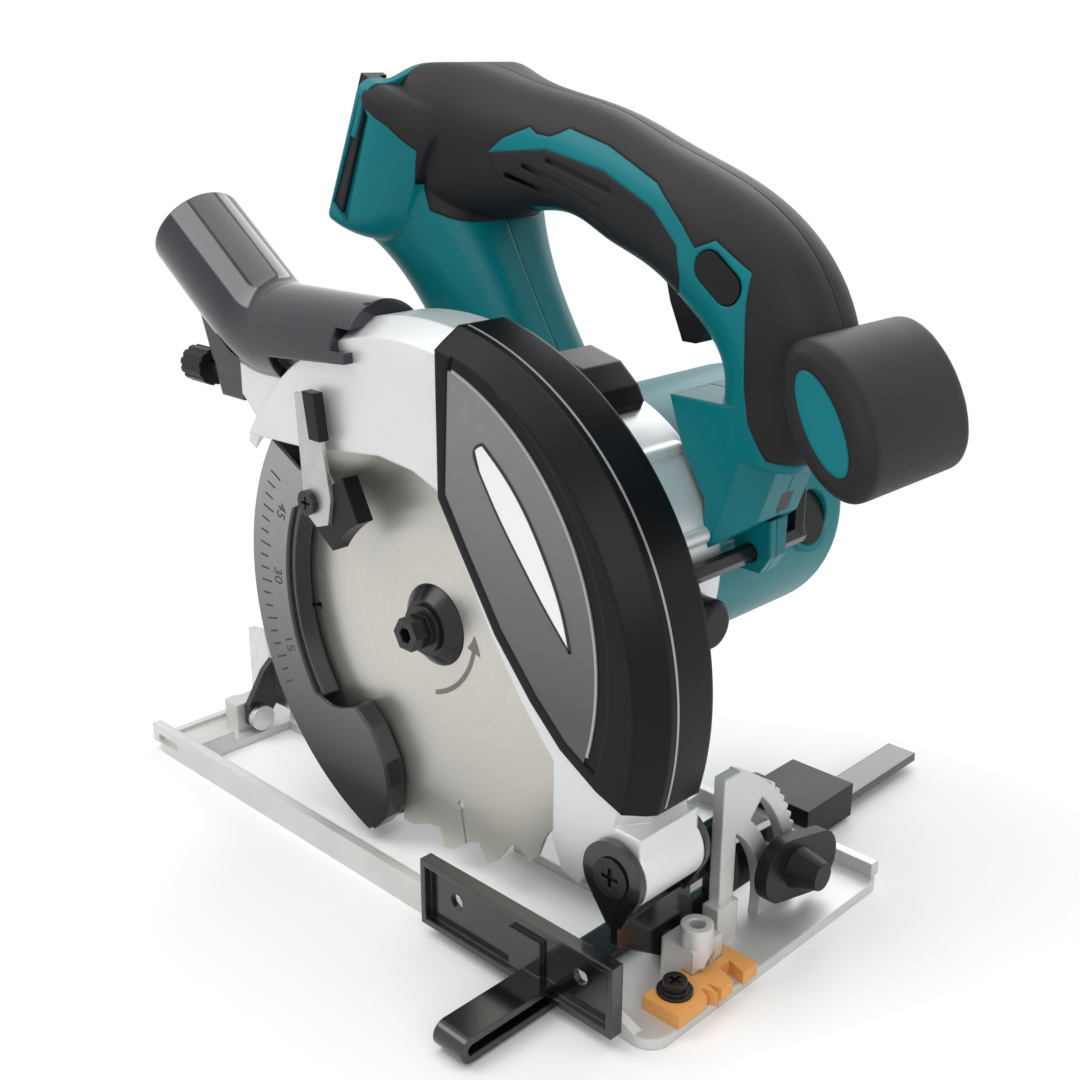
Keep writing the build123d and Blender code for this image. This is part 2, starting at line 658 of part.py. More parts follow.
with BuildPart() as blade_case:
    disc(AXIS, CASE_R, SHOULDER, BACK_OUT)
    taper(AXIS, CASE_FACE_R, CASE_R, NEAR_OUT, SHOULDER)
    sector(
        AXIS,
        CASE_FACE_R - CASE_WALL - 3,
        CASE_R + 20,
        RIM_HIGH_DEG,
        360 + RIM_LOW_DEG,
        NEAR_IN,
        BACK_IN,
        Mode.SUBTRACT,
    )
    prism(near_mouth, NEAR_OUT - 1, NEAR_IN, Mode.SUBTRACT)
    prism(back_mouth, BACK_IN, BACK_OUT + 1, Mode.SUBTRACT)
    disc(PIVOT, LOBE_R, NEAR_OUT, BACK_OUT)
    block((PIVOT[0] - LOBE_R, PIVOT[0] + 8), (NEAR_OUT, BACK_OUT), (PIVOT[1], LOBE_TOP))
    prism(lug_side, NOZZLE_SCREW_Y - 4, NOZZLE_SCREW_Y + 4)
    room_r = CASE_R - CASE_WALL
    disc(AXIS, room_r, SHOULDER, BACK_IN, Mode.SUBTRACT)
    taper(AXIS, CASE_FACE_R - CASE_WALL, room_r, NEAR_IN, SHOULDER, Mode.SUBTRACT)
    disc(PIVOT, PIVOT_R + RUN, NEAR_OUT - 1, BACK_OUT + 1, Mode.SUBTRACT)
    # bearing boss, clearance for the motor shaft, clamp bolt hole, nozzle screw thread
    disc(AXIS, BOSS_R, 4.2, BACK_IN)
    disc(AXIS, BEARING_R, 4.2, 9.2, Mode.SUBTRACT)
    disc(AXIS, SPINDLE_R + 1.0, 4.0, BACK_OUT + 1, Mode.SUBTRACT)
    disc(MOTOR, SHAFT_R + 2.5, BACK_OUT - 1.5, BACK_OUT + 1, Mode.SUBTRACT)
    disc(CLAMP, GUIDE_BOLT_R, BACK_IN - 1, BACK_OUT + 1, Mode.SUBTRACT)
    rod_x(NOZZLE_SCREW_Y, NOZZLE_SCREW_Z, NOZZLE_SCREW_R + RUN, -90, -79, Mode.SUBTRACT)
    # dust port under the nozzle
    rod_x(NOZZLE_Y, NOZZLE_Z, PORT_R, -80, -40, Mode.SUBTRACT)
write(blade_case.part, "blade_case")

# Side cover over the right of the case, with a pale panel in a recess
cover_outline = [
    (19, 139),
    (28, 125),
    (43, 102),
    (58, 85),
    (70, 74),
    (84, 66),
    (98, 61),
    (140, 61),
    (140, 230),
    (25, 230),
    (19, 186),
]
recess_outline = [
    (22, 141),
    (31, 126.5),
    (45.5, 104.5),
    (60, 88),
    (72, 77),
    (86, 69),
    (140, 69),
    (140, 230),
    (40, 230),
    (24, 178),
]
leaf = [
    (35.4, 157.5),
    (38.5, 159.5),
    (47, 152.5),
    (56, 142.5),
    (64, 130),
    (70, 117.5),
    (73.5, 105.5),
    (64, 115.5),
    (54, 127.5),
    (45, 139),
    (38, 149.5),
]
with BuildPart() as case_cover:
    taper(AXIS, COVER_FACE_R, COVER_R, COVER_OUT, COVER_SHOULDER)
    disc(AXIS, COVER_R, COVER_SHOULDER, BACK_OUT)
    disc(AXIS, CASE_R + RUN, SHOULDER, BACK_OUT, Mode.SUBTRACT)
    taper(AXIS, CASE_FACE_R + RUN, CASE_R + RUN, NEAR_OUT, SHOULDER, Mode.SUBTRACT)
    prism(cover_outline, COVER_OUT, BACK_OUT, Mode.INTERSECT)
    with BuildSketch(side(COVER_OUT + RECESS)):
        Polygon(*recess_outline, align=None)
        with Locations(PANEL_CENTRE):
            Circle(PANEL_R + BAND_W, mode=Mode.INTERSECT)
    extrude(amount=RECESS, mode=Mode.SUBTRACT)
write(case_cover.part, "case_cover")

with BuildPart() as cover_panel:
    with BuildSketch(side(COVER_OUT + RECESS)):
        Polygon(*recess_outline, align=None)
        with Locations(PANEL_CENTRE):
            Circle(PANEL_R, mode=Mode.INTERSECT)
    extrude(amount=PANEL_T)
    prism(leaf, COVER_OUT, COVER_OUT + RECESS, Mode.SUBTRACT)
write(cover_panel.part, "cover_panel")

with BuildPart() as cover_inlay:
    prism(leaf, COVER_OUT, COVER_OUT + RECESS)
write(cover_inlay.part, "cover_inlay")

# Gear housing with gear cavity and bearing seats
ROOM = (50.0, 129.0)
CAP_NEAR = BACK_OUT + 0.5
CAP_FAR = CAP_NEAR + 18.0
cap_side = [
    (14, 170),
    (23, 176.8),
    (38, 181.5),
    (50, 178.5),
    (57, 172.5),
    (59.5, 168),
    (56, 160.5),
    (38, 164.5),
    (16, 160.5),
]
with BuildPart() as gear_housing:
    hull_prism(AXIS, GEAR_CASE_R, BARREL, GEAR_BARREL_R, BACK_OUT, GEAR_CASE_BACK)
    disc(AXIS, GEAR_MODULE * (GEAR_TEETH / 2 + 2), BACK_OUT, GEAR_BACK + 2, Mode.SUBTRACT)
    disc(MOTOR, 7.5, BACK_OUT, GEAR_BACK + 2, Mode.SUBTRACT)
    disc(ROOM, 24.0, BACK_OUT + 2.5, GEAR_CASE_BACK - 2.5, Mode.SUBTRACT)
    disc(AXIS, 9.0, GEAR_BACK + 2, GEAR_BACK + 7, Mode.SUBTRACT)
    disc(MOTOR, 8.0, GEAR_BACK + 3, GEAR_CASE_BACK, Mode.SUBTRACT)
    disc(MOTOR, SHAFT_R + 1, GEAR_BACK, GEAR_CASE_BACK, Mode.SUBTRACT)
    # ribs round the outside
    for rib_deg in (-18, 14, 46):
        rib = polar(BARREL, GEAR_BARREL_R - 1.0, rib_deg)
        disc(rib, 2.6, BACK_OUT + 3, GEAR_CASE_BACK - 3)
    LOCK_Y = 24.0
    LOCK_Z = 108.5
    LOCK_R = 7.6
    rod_x(LOCK_Y, LOCK_Z, LOCK_R + 0.1, 74, 120, Mode.SUBTRACT)
    prism(cap_side, CAP_NEAR, CAP_FAR, Mode.SUBTRACT)
write(gear_housing.part, "gear_housing")

with BuildPart() as housing_cap:
    prism(cap_side, CAP_NEAR, CAP_FAR)
    near_rim = housing_cap.faces().sort_by(Axis.Y)[0].edges()
    chamfer(near_rim, 1.2)
write(housing_cap.part, "housing_cap")

# Motor housing: shell, motor tube and end wall
with BuildPart() as motor_housing:
    hull_prism(MOTOR, MOTOR_CASE_R, BARREL, BARREL_R, GEAR_CASE_BACK, MOTOR_END)
    hull_prism(
        MOTOR,
        MOTOR_CASE_R - SHELL,
        BARREL,
        BARREL_R - SHELL,
        GEAR_CASE_BACK,
        MOTOR_END - SHELL,
        Mode.SUBTRACT,
    )
    disc(MOTOR, FIELD_R + SHELL, 48, MOTOR_END - SHELL)
    disc(MOTOR, FIELD_R, 48, 98, Mode.SUBTRACT)
    disc(MOTOR, 8.0, 98, 106, Mode.SUBTRACT)
    shell_edge = motor_housing.faces().sort_by(Axis.Y)[-1].edges()
    fillet(shell_edge, 5.0)
    brush_end = polar(MOTOR, 100.0, BRUSH_DEG)
    arm(MOTOR, brush_end, CAP_R + 2.5, COMMUTATOR_Y, 55.0, 64.0)
    arm(MOTOR, brush_end, 5.0, COMMUTATOR_Y, 8.0, 70.0, Mode.SUBTRACT)
    arm(MOTOR, brush_end, CAP_R, COMMUTATOR_Y, 61.0, 90.0, Mode.SUBTRACT)
    rear_end = polar(MOTOR, -100.0, BRUSH_DEG)
    arm(MOTOR, rear_end, CAP_R + 2.5, COMMUTATOR_Y, 27.0, 35.0)
    arm(MOTOR, rear_end, 5.0, COMMUTATOR_Y, 8.0, 40.0, Mode.SUBTRACT)
    arm(MOTOR, rear_end, CAP_R, COMMUTATOR_Y, 32.0, 60.0, Mode.SUBTRACT)
    disc(MOTOR, FIELD_R, 48, 98, Mode.SUBTRACT)
    # air slots in the end wall
    for slot_x in (22, 30, 38, 46, 54):
        with BuildSketch(side(MOTOR_END + 1)):
            with Locations(Location((slot_x + 4, 138), 90)):
                SlotOverall(22, 3)
        extrude(amount=SHELL + 2, mode=Mode.SUBTRACT)
write(motor_housing.part, "motor_housing")

with BuildPart() as brush_caps:
    arm(MOTOR, brush_end, CAP_R - RUN, COMMUTATOR_Y, 61.0, 64.5)
    arm(MOTOR, rear_end, CAP_R - RUN, COMMUTATOR_Y, 32.0, 35.5)
write(brush_caps.part, "brush_caps")

with BuildPart() as brushes:
    arm(MOTOR, brush_end, 4.0, COMMUTATOR_Y, 10.4, 61.0)
    arm(MOTOR, rear_end, 4.0, COMMUTATOR_Y, 10.4, 32.0)
write(brushes.part, "brushes")

with BuildPart() as field_frame:
    disc(MOTOR, FIELD_R, 50, 84)
    disc(MOTOR, FIELD_IN_R, 50, 84, Mode.SUBTRACT)
write(field_frame.part, "field_frame")

with BuildPart() as bearings:
    for y_near, y_far, centre, outer_r, inner_r in (
        (4.2, 9.2, AXIS, BEARING_R, SPINDLE_R),
        (GEAR_BACK + 2, GEAR_BACK + 7, AXIS, 9.0, 4.5),
        (GEAR_BACK + 4, GEAR_CASE_BACK, MOTOR, 8.0, SHAFT_R),
        (99, 105, MOTOR, 8.0, SHAFT_R),
    ):
        disc(centre, outer_r, y_near, y_far)
        disc(centre, inner_r + RUN, y_near, y_far, Mode.SUBTRACT)
write(bearings.part, "bearings")

# Spindle group
with BuildPart() as spindle:
    disc(AXIS, SPINDLE_R, -0.6, GEAR_BACK + 1)
    disc(AXIS, 4.5, GEAR_BACK + 1, GEAR_BACK + 7)
    disc(AXIS, BOLT_R + RUN, -0.6, 16, Mode.SUBTRACT)
write(spindle.part, "spindle")


def gear_wheel(centre, teeth, bore, y_near, y_far, phase):
    """Spur wheel with slim teeth about a centre."""
    pitch_r = GEAR_MODULE * teeth / 2
    disc(centre, pitch_r - 1.1 * GEAR_MODULE, y_near, y_far)
    for tooth in range(teeth):
        turn = phase + 360 * tooth / teeth
        with BuildSketch(side(y_far)) as outline:
            with Locations(Location(polar(centre, pitch_r - 0.4 * GEAR_MODULE, turn), turn)):
                Rectangle(2.2 * GEAR_MODULE, 0.9 * GEAR_MODULE)
        extrude(outline.sketch, amount=y_far - y_near)
    disc(centre, bore, y_near, y_far, Mode.SUBTRACT)


with BuildPart() as drive_gear:
    gear_wheel(AXIS, GEAR_TEETH, SPINDLE_R, GEAR_FRONT, GEAR_BACK, MOTOR_DEG)
write(drive_gear.part, "drive_gear")

with BuildPart() as inner_flange:
    disc(AXIS, FLANGE_R, BLADE_BODY / 2, 3.8)
    disc(AXIS, BLADE_BORE_R - RUN, -BLADE_BODY / 2 + 0.2, BLADE_BODY / 2)
    disc(AXIS, SPINDLE_R, -BLADE_BODY / 2, 3.8, Mode.SUBTRACT)
write(inner_flange.part, "inner_flange")

with BuildPart() as blade:
    pitch = 360 / BLADE_TEETH
    root_r = BLADE_R - TOOTH_DEPTH
    with BuildSketch(side(BLADE_BODY / 2)):
        with BuildLine():
            corners = []
            for tooth in range(BLADE_TEETH):
                turn = pitch * tooth
                corners.append(polar(AXIS, root_r, turn))
                corners.append(polar(AXIS, BLADE_R, turn + 0.12 * pitch))
                corners.append(polar(AXIS, BLADE_R - 1.2, turn + 0.36 * pitch))
                corners.append(polar(AXIS, root_r + 1.5, turn + 0.7 * pitch))
            Polyline(*corners, close=True)
        make_face()
        with Locations(AXIS):
            Circle(BLADE_BORE_R, mode=Mode.SUBTRACT)
        for slot in range(4):
            turn = 280 + 90 * slot
            with Locations(Location(polar(AXIS, root_r - 4, turn), turn)):
                Rectangle(16, 1.0, mode=Mode.SUBTRACT)
            with Locations(polar(AXIS, root_r - 12, turn)):
                Circle(1.6, mode=Mode.SUBTRACT)
    extrude(amount=BLADE_BODY)
write(blade.part, "blade")

with BuildPart() as outer_flange:
    with BuildSketch(side(-BLADE_BODY / 2)):
        with Locations(AXIS):
            Circle(FLANGE_R)
    with BuildSketch(side(FLANGE_OUT)):
        with Locations(AXIS):
            Circle(FLANGE_R - 4.5)
    loft()
    disc(AXIS, BOLT_R + RUN, FLANGE_OUT, 0, Mode.SUBTRACT)
write(outer_flange.part, "outer_flange")

with BuildPart() as blade_bolt:
    disc(AXIS, 8.2, FLANGE_OUT - 1.8, FLANGE_OUT)
    with BuildSketch(side(FLANGE_OUT - 1.8)):
        with Locations(AXIS):
            RegularPolygon(BOLT_AF / 2, 6, major_radius=False)
    extrude(amount=FLANGE_OUT - 1.8 - BOLT_END)
    with BuildSketch(side(BOLT_END + 4)):
        with Locations(AXIS):
            RegularPolygon(2.5, 6, major_radius=False)
    extrude(amount=5, mode=Mode.SUBTRACT)
    disc(AXIS, BOLT_R, FLANGE_OUT, 14)
write(blade_bolt.part, "blade_bolt")

# Armature and fan
with BuildPart() as armature:
    disc(MOTOR, SHAFT_R, 13, 105)
    gear_wheel(MOTOR, PINION_TEETH, 0.5, GEAR_FRONT, GEAR_BACK, MOTOR_DEG)
    disc(MOTOR, SHAFT_R, 13, 105)
    disc(MOTOR, CORE_R, 52, 82)
    disc(MOTOR, 10.0, 85, 97)
write(armature.part, "armature")

with BuildPart() as motor_fan:
    disc(MOTOR, 24.0, 38, 39.5)
    disc(MOTOR, 6.5, 38, 47)
    for blade_no in range(11):
        turn = 360 * blade_no / 11
        with BuildSketch(side(46)):
            with Locations(Location(polar(MOTOR, 17, turn), turn + 25)):
                Rectangle(12, 1.4)
        extrude(amount=7)
    disc(MOTOR, SHAFT_R, 38, 47, Mode.SUBTRACT)
write(motor_fan.part, "motor_fan")

# Lower guard: near plate with foot, rim band, back plate and hub
near_plate = [polar(AXIS, GUARD_R, GUARD_TOP_DEG)]
near_plate += [(-57.7, 131), (-50, 131), (-40, 133), (-34, 127), (-44, 117), (-53, 121)]
foot = [(-41, 47), (-33, 50), (-25, 44.5), (-18, 33.5), (-16, 24.5), (-18.5, 12), (-24, 6)]
with BuildPart() as lower_guard:
    band_end = 226.0
    sector(AXIS, GUARD_BAND_R, GUARD_R, GUARD_TOP_DEG, band_end, GUARD_OUT, GUARD_IN)
    tip = near_plate + [polar(AXIS, GUARD_BAND_R, 156), polar(AXIS, GUARD_R - 1, 152)]
    prism(tip, GUARD_OUT, GUARD_IN)
    with BuildSketch(side(GUARD_IN)):
        foot_rest = [polar(AXIS, GUARD_R - 0.5, angle) for angle in (248, 240, 232, 224, 216)]
        Polygon(*foot, *foot_rest, polar(AXIS, GUARD_BAND_R, 216), polar(AXIS, 63, 222), align=None)
    extrude(amount=GUARD_IN - GUARD_OUT)
    rim_in = GUARD_R - GUARD_WALL
    sector(AXIS, rim_in, GUARD_R, GUARD_TOP_DEG, GUARD_END_DEG, GUARD_OUT, GUARD_BACK)
    sector(AXIS, GUARD_HUB_R - 2, GUARD_R, 150, 246, GUARD_BACK_IN, GUARD_BACK)
    disc(AXIS, GUARD_HUB_R, GUARD_BACK_IN, GUARD_BACK)
    disc(AXIS, BOSS_R + RUN, GUARD_BACK_IN - 1, GUARD_BACK + 1, Mode.SUBTRACT)
    LEVER_SCREW = (-41.0, 125.0)
    disc(LEVER_SCREW, 2.05, GUARD_OUT - 1, GUARD_IN + 1, Mode.SUBTRACT)
write(lower_guard.part, "lower_guard")

LINING_FAR = -2.2
LINING_T = 3.5
foot_inside = [(-27.5, 9), (-22.5, 14.5), (-20.2, 24.5), (-22, 32), (-28, 40.5), (-34, 45.5), (-40.5, 42.5)]
with BuildPart() as guard_lining:
    band_in = GUARD_BAND_R - LINING_T
    sector(AXIS, band_in, GUARD_BAND_R, 153, 218, GUARD_IN, LINING_FAR)
    prism(foot + foot_inside, GUARD_IN, LINING_FAR)
write(guard_lining.part, "guard_lining")

STRIP_IN = -16.5
STRIP_OUT = -18.0
strip_side = [(-46.5, 161), (-36, 161), (-30, 128), (-32, 119), (-38, 117), (-44, 121)]
with BuildPart() as lever_holder:
    sector(AXIS, 38.5, 54, 118, 146, STRIP_IN, GUARD_OUT)
    disc(LEVER_SCREW, 2.05, STRIP_IN - 1, GUARD_OUT + 1, Mode.SUBTRACT)
write(lever_holder.part, "lever_holder")

with BuildPart() as guard_lever:
    prism(strip_side, STRIP_OUT, STRIP_IN)
    disc(LEVER_SCREW, 2.05, STRIP_OUT - 1, STRIP_IN + 1, Mode.SUBTRACT)
write(guard_lever.part, "guard_lever")

sleeve_side = [(-40.8, 162.5), (-34.8, 162.5), (-32.6, 147), (-38.2, 147)]
with BuildPart() as lever_sleeve:
    prism(sleeve_side, STRIP_OUT - 1.2, STRIP_IN + 1.1)
    prism(strip_side, STRIP_OUT, STRIP_IN, Mode.SUBTRACT)
write(lever_sleeve.part, "lever_sleeve")

with BuildPart() as lever_screw:
    disc(LEVER_SCREW, 2.0, STRIP_OUT, GUARD_IN)
    disc(LEVER_SCREW, 4.2, STRIP_OUT - 2.0, STRIP_OUT)
    for turn in (0, 90):
        with BuildSketch(side(STRIP_OUT - 0.8)):
            with Locations(Location(LEVER_SCREW, turn)):
                Rectangle(4.6, 1.0)
        extrude(amount=2, mode=Mode.SUBTRACT)
write(lever_screw.part, "lever_screw")

with BuildPart() as guard_spring:
    disc(AXIS, 19.5, GUARD_BACK + 0.5, BACK_IN)
    disc(AXIS, BOSS_R, GUARD_BACK + 0.5, BACK_IN, Mode.SUBTRACT)
write(guard_spring.part, "guard_spring")

# Depth clamp bolt and lever
LEVER_IN = GUIDE_Y + GUIDE_T + 0.5
LEVER_OUT = LEVER_IN + 6.0
with BuildPart() as clamp_bolt:
    disc(CLAMP, GUIDE_BOLT_R, BACK_IN, LEVER_OUT - 0.5)
    disc(CLAMP, 5.5, BACK_IN - 1.4, BACK_IN)
write(clamp_bolt.part, "clamp_bolt")

with BuildPart() as depth_lever:
    hull_prism(CLAMP, 7.0, (-78, 165), 4.5, LEVER_IN, LEVER_OUT)
    disc(CLAMP, GUIDE_BOLT_R + RUN, LEVER_IN - 1, LEVER_OUT + 1, Mode.SUBTRACT)
write(depth_lever.part, "depth_lever")

# Dust nozzle: elbow tube with a closed saddle end, a hose socket, a tab and a thumb screw
NOZZLE_R = 17.0
SOCKET_R = 14.5
SOCKET_DEPTH = 20.0
nozzle_path = [(-21, NOZZLE_Z + 1), (-81.6, NOZZLE_Z), (-124, 204.2)]
bore_path = [(-58, NOZZLE_Z + 0.4), (-81.6, NOZZLE_Z), (-124, 204.2)]
KNURL_X = -108.5


def tube(points, radius, mode=Mode.ADD):
    """Round bar along a bent line in the plane of the blade."""
    with BuildLine(side(NOZZLE_Y)) as elbow:
        FilletPolyline(*points, radius=28)
    start = Plane(origin=elbow.line @ 0, x_dir=(0, 1, 0), z_dir=elbow.line % 0)
    with BuildSketch(start) as section:
        Circle(radius)
    sweep(section.sketch, path=elbow.line, mode=mode)


tab_side = [(-112, 182), (-100, 150), (-86.5, 150), (-86.5, 166), (-92, 172)]
with BuildPart() as dust_nozzle:
    tube(nozzle_path, NOZZLE_R)
    prism(tab_side, NOZZLE_SCREW_Y - 3, NOZZLE_SCREW_Y + 3)
    tube(bore_path, SOCKET_R - 1.0, Mode.SUBTRACT)
    arm(nozzle_path[2], nozzle_path[1], SOCKET_R, NOZZLE_Y, 0, SOCKET_DEPTH, Mode.SUBTRACT)
    # seat on the case, lower edge of the saddle and its notch
    disc(AXIS, CASE_R, SHOULDER, 40, Mode.SUBTRACT)
    taper(AXIS, CASE_FACE_R, CASE_R, NEAR_OUT, SHOULDER, Mode.SUBTRACT)
    prism([(-62, 140), (-62, 170), (-10, 174.5), (-10, 140)], -40, 40, Mode.SUBTRACT)
    block((-28, -15), (-30, -9), (177, 184), Mode.SUBTRACT)
    prism(lug_side, NOZZLE_SCREW_Y - 4, NOZZLE_SCREW_Y + 4, Mode.SUBTRACT)
    rod_x(NOZZLE_SCREW_Y, NOZZLE_SCREW_Z, NOZZLE_SCREW_R + RUN, -120, -80, Mode.SUBTRACT)
write(dust_nozzle.part, "dust_nozzle")

with BuildPart() as nozzle_screw:
    rod_x(NOZZLE_SCREW_Y, NOZZLE_SCREW_Z, NOZZLE_SCREW_R, KNURL_X, -80)
    rod_x(NOZZLE_SCREW_Y, NOZZLE_SCREW_Z, 6.6, KNURL_X - 12, KNURL_X)
    for knurl in range(12):
        groove = polar((NOZZLE_SCREW_Y, NOZZLE_SCREW_Z), 7.0, 30 * knurl)
        rod_x(groove[0], groove[1], 0.9, KNURL_X - 13, KNURL_X + 1, Mode.SUBTRACT)
write(nozzle_screw.part, "nozzle_screw")

# Handle form, from which the two halves, the soft cover and the side grips are taken


def handle_section(x, z, degrees):
    """Plane across the handle at a point of the seam, facing along the handle."""
    turn = math.radians(degrees)
    origin = (x, BLADE_Y + HANDLE_Y, z)
    return Plane(origin=origin, x_dir=(0, 1, 0), z_dir=(math.cos(turn), 0, math.sin(turn)))


HOLDER_W = 2 * HOLDER_HALF
REAR_DEG = -24.0
nose_side = [
    (70, 172),
    (74, 160),
    (79, 151),
    (84, 143),
    (84, 136),
    (80, 128.5),
    (82.5, 125.5),
    (85.5, 128.5),
    (97, 137),
    (104, 157),
    (106, 172),
]
NOSE_BEVEL = 8.0
trigger_side = [
    (58, 203),
    (60, 196),
    (65, 185),
    (70, 185),
    (74, 190),
    (82, 191),
    (83, 196),
    (78, 196),
    (74, 203),
]
pocket = [(55.6, 211.5), (56.2, 204), (57.8, 196), (62.5, 183.5), (84, 183.5), (84.5, 205), (84.5, 211.5)]
TRIGGER_HALF = 7.0
BUTTON = (86.0, 207.0)
BUTTON_TILT = -38.0
BUTTON_LONG = 17.0
BUTTON_WIDE = 9.0
BUTTON_OUT = 1.6
KEY = (90.0, 124.5)
KEY_AF = 5.0
KEY_NEAR = BACK_OUT + 1.5
CLIP_NEAR = 45.0
CLIP_FAR = 53.0
clip_side = [(85, 119), (84.5, 128), (92, 134.5), (97, 136), (97.5, 124.5), (94, 119)]
led_side = [(97.6, 138.7), (99.7, 144.7), (96.9, 145.7), (94.8, 139.7)]
LED_NEAR = 46.0
LED_FAR = 52.0
screw_places = [(46, 226), (-8, 163), (92, 148)]
switch_side = [(44, 214), (44, 226), (58, 223.5), (76, 212), (76, 208), (60, 208)]
band_side = [(-38.3, 252), (-34.4, 245.6), (-47.6, 212.5), (-54.2, 218.8)]
BAND_DEPTH = 2.0
with BuildPart() as nose_form:
    prism(nose_side, HANDLE_Y - GRIP_W / 2, HANDLE_Y + GRIP_W / 2)
    slope = math.dist(nose_side[8], nose_side[9])
    corner = nose_form.edges().filter_by(lambda edge: abs(edge.length - slope) < 0.01)
    chamfer(corner, NOSE_BEVEL)
with BuildPart() as handle_form:
    # grip from the battery end over the trigger and down the post
    for x, z, degrees, width, height, corner_r in (
        (-43.5, 235.5, REAR_DEG, 58, 57, 12),
        (-30, 235, -18, 59, 55, 20),
        (-16, 235.5, -13, 52, 47, 21),
        (-2, 235.5, -11, 43, 40, 18),
        (14, 235, -13, GRIP_W + 1, GRIP_H + 3, 16),
        (42, 227, -18, GRIP_W, GRIP_H + 2, 15),
        (66, 217.5, -27, GRIP_W + 1, GRIP_H + 3, 15.5),
        (86, 204.5, -48, GRIP_W + 3, GRIP_H + 6, 17),
        (98, 187, -75, GRIP_W + 2, GRIP_H + 4, 16),
        (99, 170, -92, GRIP_W + 1, GRIP_H + 1, 14),
        (96, 157, -100, GRIP_W, GRIP_H - 4, 10),
    ):
        with BuildSketch(handle_section(x, z, degrees)):
            RectangleRounded(width, height, corner_r)
    loft()
    # battery holder
    for x, z, degrees, width, height, corner_r in (
        (-48, 234.5, REAR_DEG, HOLDER_W, 49, 4),
        (-38, 230, REAR_DEG, HOLDER_W - 1, 49, 8),
        (-25, 225.5, REAR_DEG, 62, 44, 16),
    ):
        with BuildSketch(handle_section(x, z, degrees)):
            RectangleRounded(width, height, corner_r)
    loft()
    # column down to the motor
    for x, z, degrees, width, height, corner_r in (
        (-41, 220, -48, 70, 38, 12),
        (-31, 203, -56, 54, 37, 16),
        (-21, 186, -58, 45, 36, 15),
        (-8, 165, -58, 42, 36, 14),
        (6, 142.5, -58, 42, 36, 14),
    ):
        with BuildSketch(handle_section(x, z, degrees)):
            RectangleRounded(width, height, corner_r)
    loft()
    add(nose_form.part)
    prism(clip_side, CLIP_NEAR, CLIP_FAR)
    hull_prism(MOTOR, MOTOR_CASE_R, BARREL, BARREL_R, GEAR_CASE_BACK, MOTOR_END, Mode.SUBTRACT)
    hull_prism(AXIS, GEAR_CASE_R, BARREL, GEAR_BARREL_R, BACK_OUT, GEAR_CASE_BACK, Mode.SUBTRACT)
    add(gear_housing.part, mode=Mode.SUBTRACT)
    add(housing_cap.part, mode=Mode.SUBTRACT)
    # trigger pocket with room for its travel
    pocket_half = TRIGGER_HALF + FREE
    prism(pocket, HANDLE_Y - pocket_half, HANDLE_Y + pocket_half, Mode.SUBTRACT)
    prism(switch_side, HANDLE_Y - 9, HANDLE_Y + 9, Mode.SUBTRACT)
    with BuildSketch(side(HANDLE_Y + 40)):
        with Locations(Location(BUTTON, BUTTON_TILT)):
            SlotOverall(BUTTON_LONG + 2 * FREE, BUTTON_WIDE + 2 * FREE)
    extrude(amount=80, mode=Mode.SUBTRACT)
    disc(KEY, KEY_AF / 2 / math.cos(math.pi / 6) + 0.1, 10, 80, Mode.SUBTRACT)
    prism(led_side, LED_NEAR, LED_FAR, Mode.SUBTRACT)
    for place in screw_places:
        disc(place, 3.0, HANDLE_Y + 10, HANDLE_Y + 40, Mode.SUBTRACT)
    # channels for the dark bands on both sides of the holder
    holder_near = HANDLE_Y - HOLDER_HALF
    holder_far = HANDLE_Y + HOLDER_HALF
    prism(band_side, holder_near - 1, holder_near + BAND_DEPTH, Mode.SUBTRACT)
    prism(band_side, holder_far - BAND_DEPTH, holder_far + 1, Mode.SUBTRACT)

soft_side = [
    (-1.8, 235.9),
    (3.6, 240.2),
    (12.4, 243.6),
    (15.3, 241.7),
    (20.3, 241.1),
    (23.8, 242.3),
    (26.5, 243.6),
    (41.5, 239.4),
    (61.1, 230.2),
    (72.6, 219.8),
    (77.7, 214.2),
    (84, 216.7),
    (96, 209.1),
    (95.9, 201.8),
    (96.2, 178.2),
    (98, 168),
    (104, 158.5),
    (150, 150),
    (150, 290),
    (-20, 290),
    (-35, 256),
    (-38, 249.5),
    (-28, 243),
    (-22, 235.5),
    (-25.5, 224),
    (-24, 217),
    (-19, 214.3),
    (-10, 211),
    (6, 205),
    (6, 222),
    (2, 226),
]
grip_side = [
    (-1.8, 235.9),
    (19.6, 237.5),
    (41.7, 232.8),
    (61.3, 223.6),
    (71, 214.1),
    (72, 205.6),
    (69.8, 200.6),
    (57, 198),
    (40, 200),
    (6, 205),
    (6, 222),
    (2, 226),
]
GRIP_CORE = 10.0
core_side = [(-36, 226), (8, 226), (8, 244), (-36, 244)]
SEAM = 0.3


def take_half(near):
    """Keep the right half of the part being built, or its left half, clear of the seam."""
    edge = HANDLE_Y - SEAM / 2 if near else HANDLE_Y + SEAM / 2
    with BuildSketch(side(edge)) as half:
        Rectangle(4 * CASE_R, 8 * CASE_R)
    reach = CASE_R if near else -CASE_R
    extrude(half.sketch, amount=reach, mode=Mode.INTERSECT)


def cut_side_grips(mode):
    """Panels on both flanks of the grip, outside its core."""
    prism(grip_side, HANDLE_Y - CASE_R, HANDLE_Y - GRIP_CORE, mode)
    prism(grip_side, HANDLE_Y + GRIP_CORE, HANDLE_Y + CASE_R, mode)


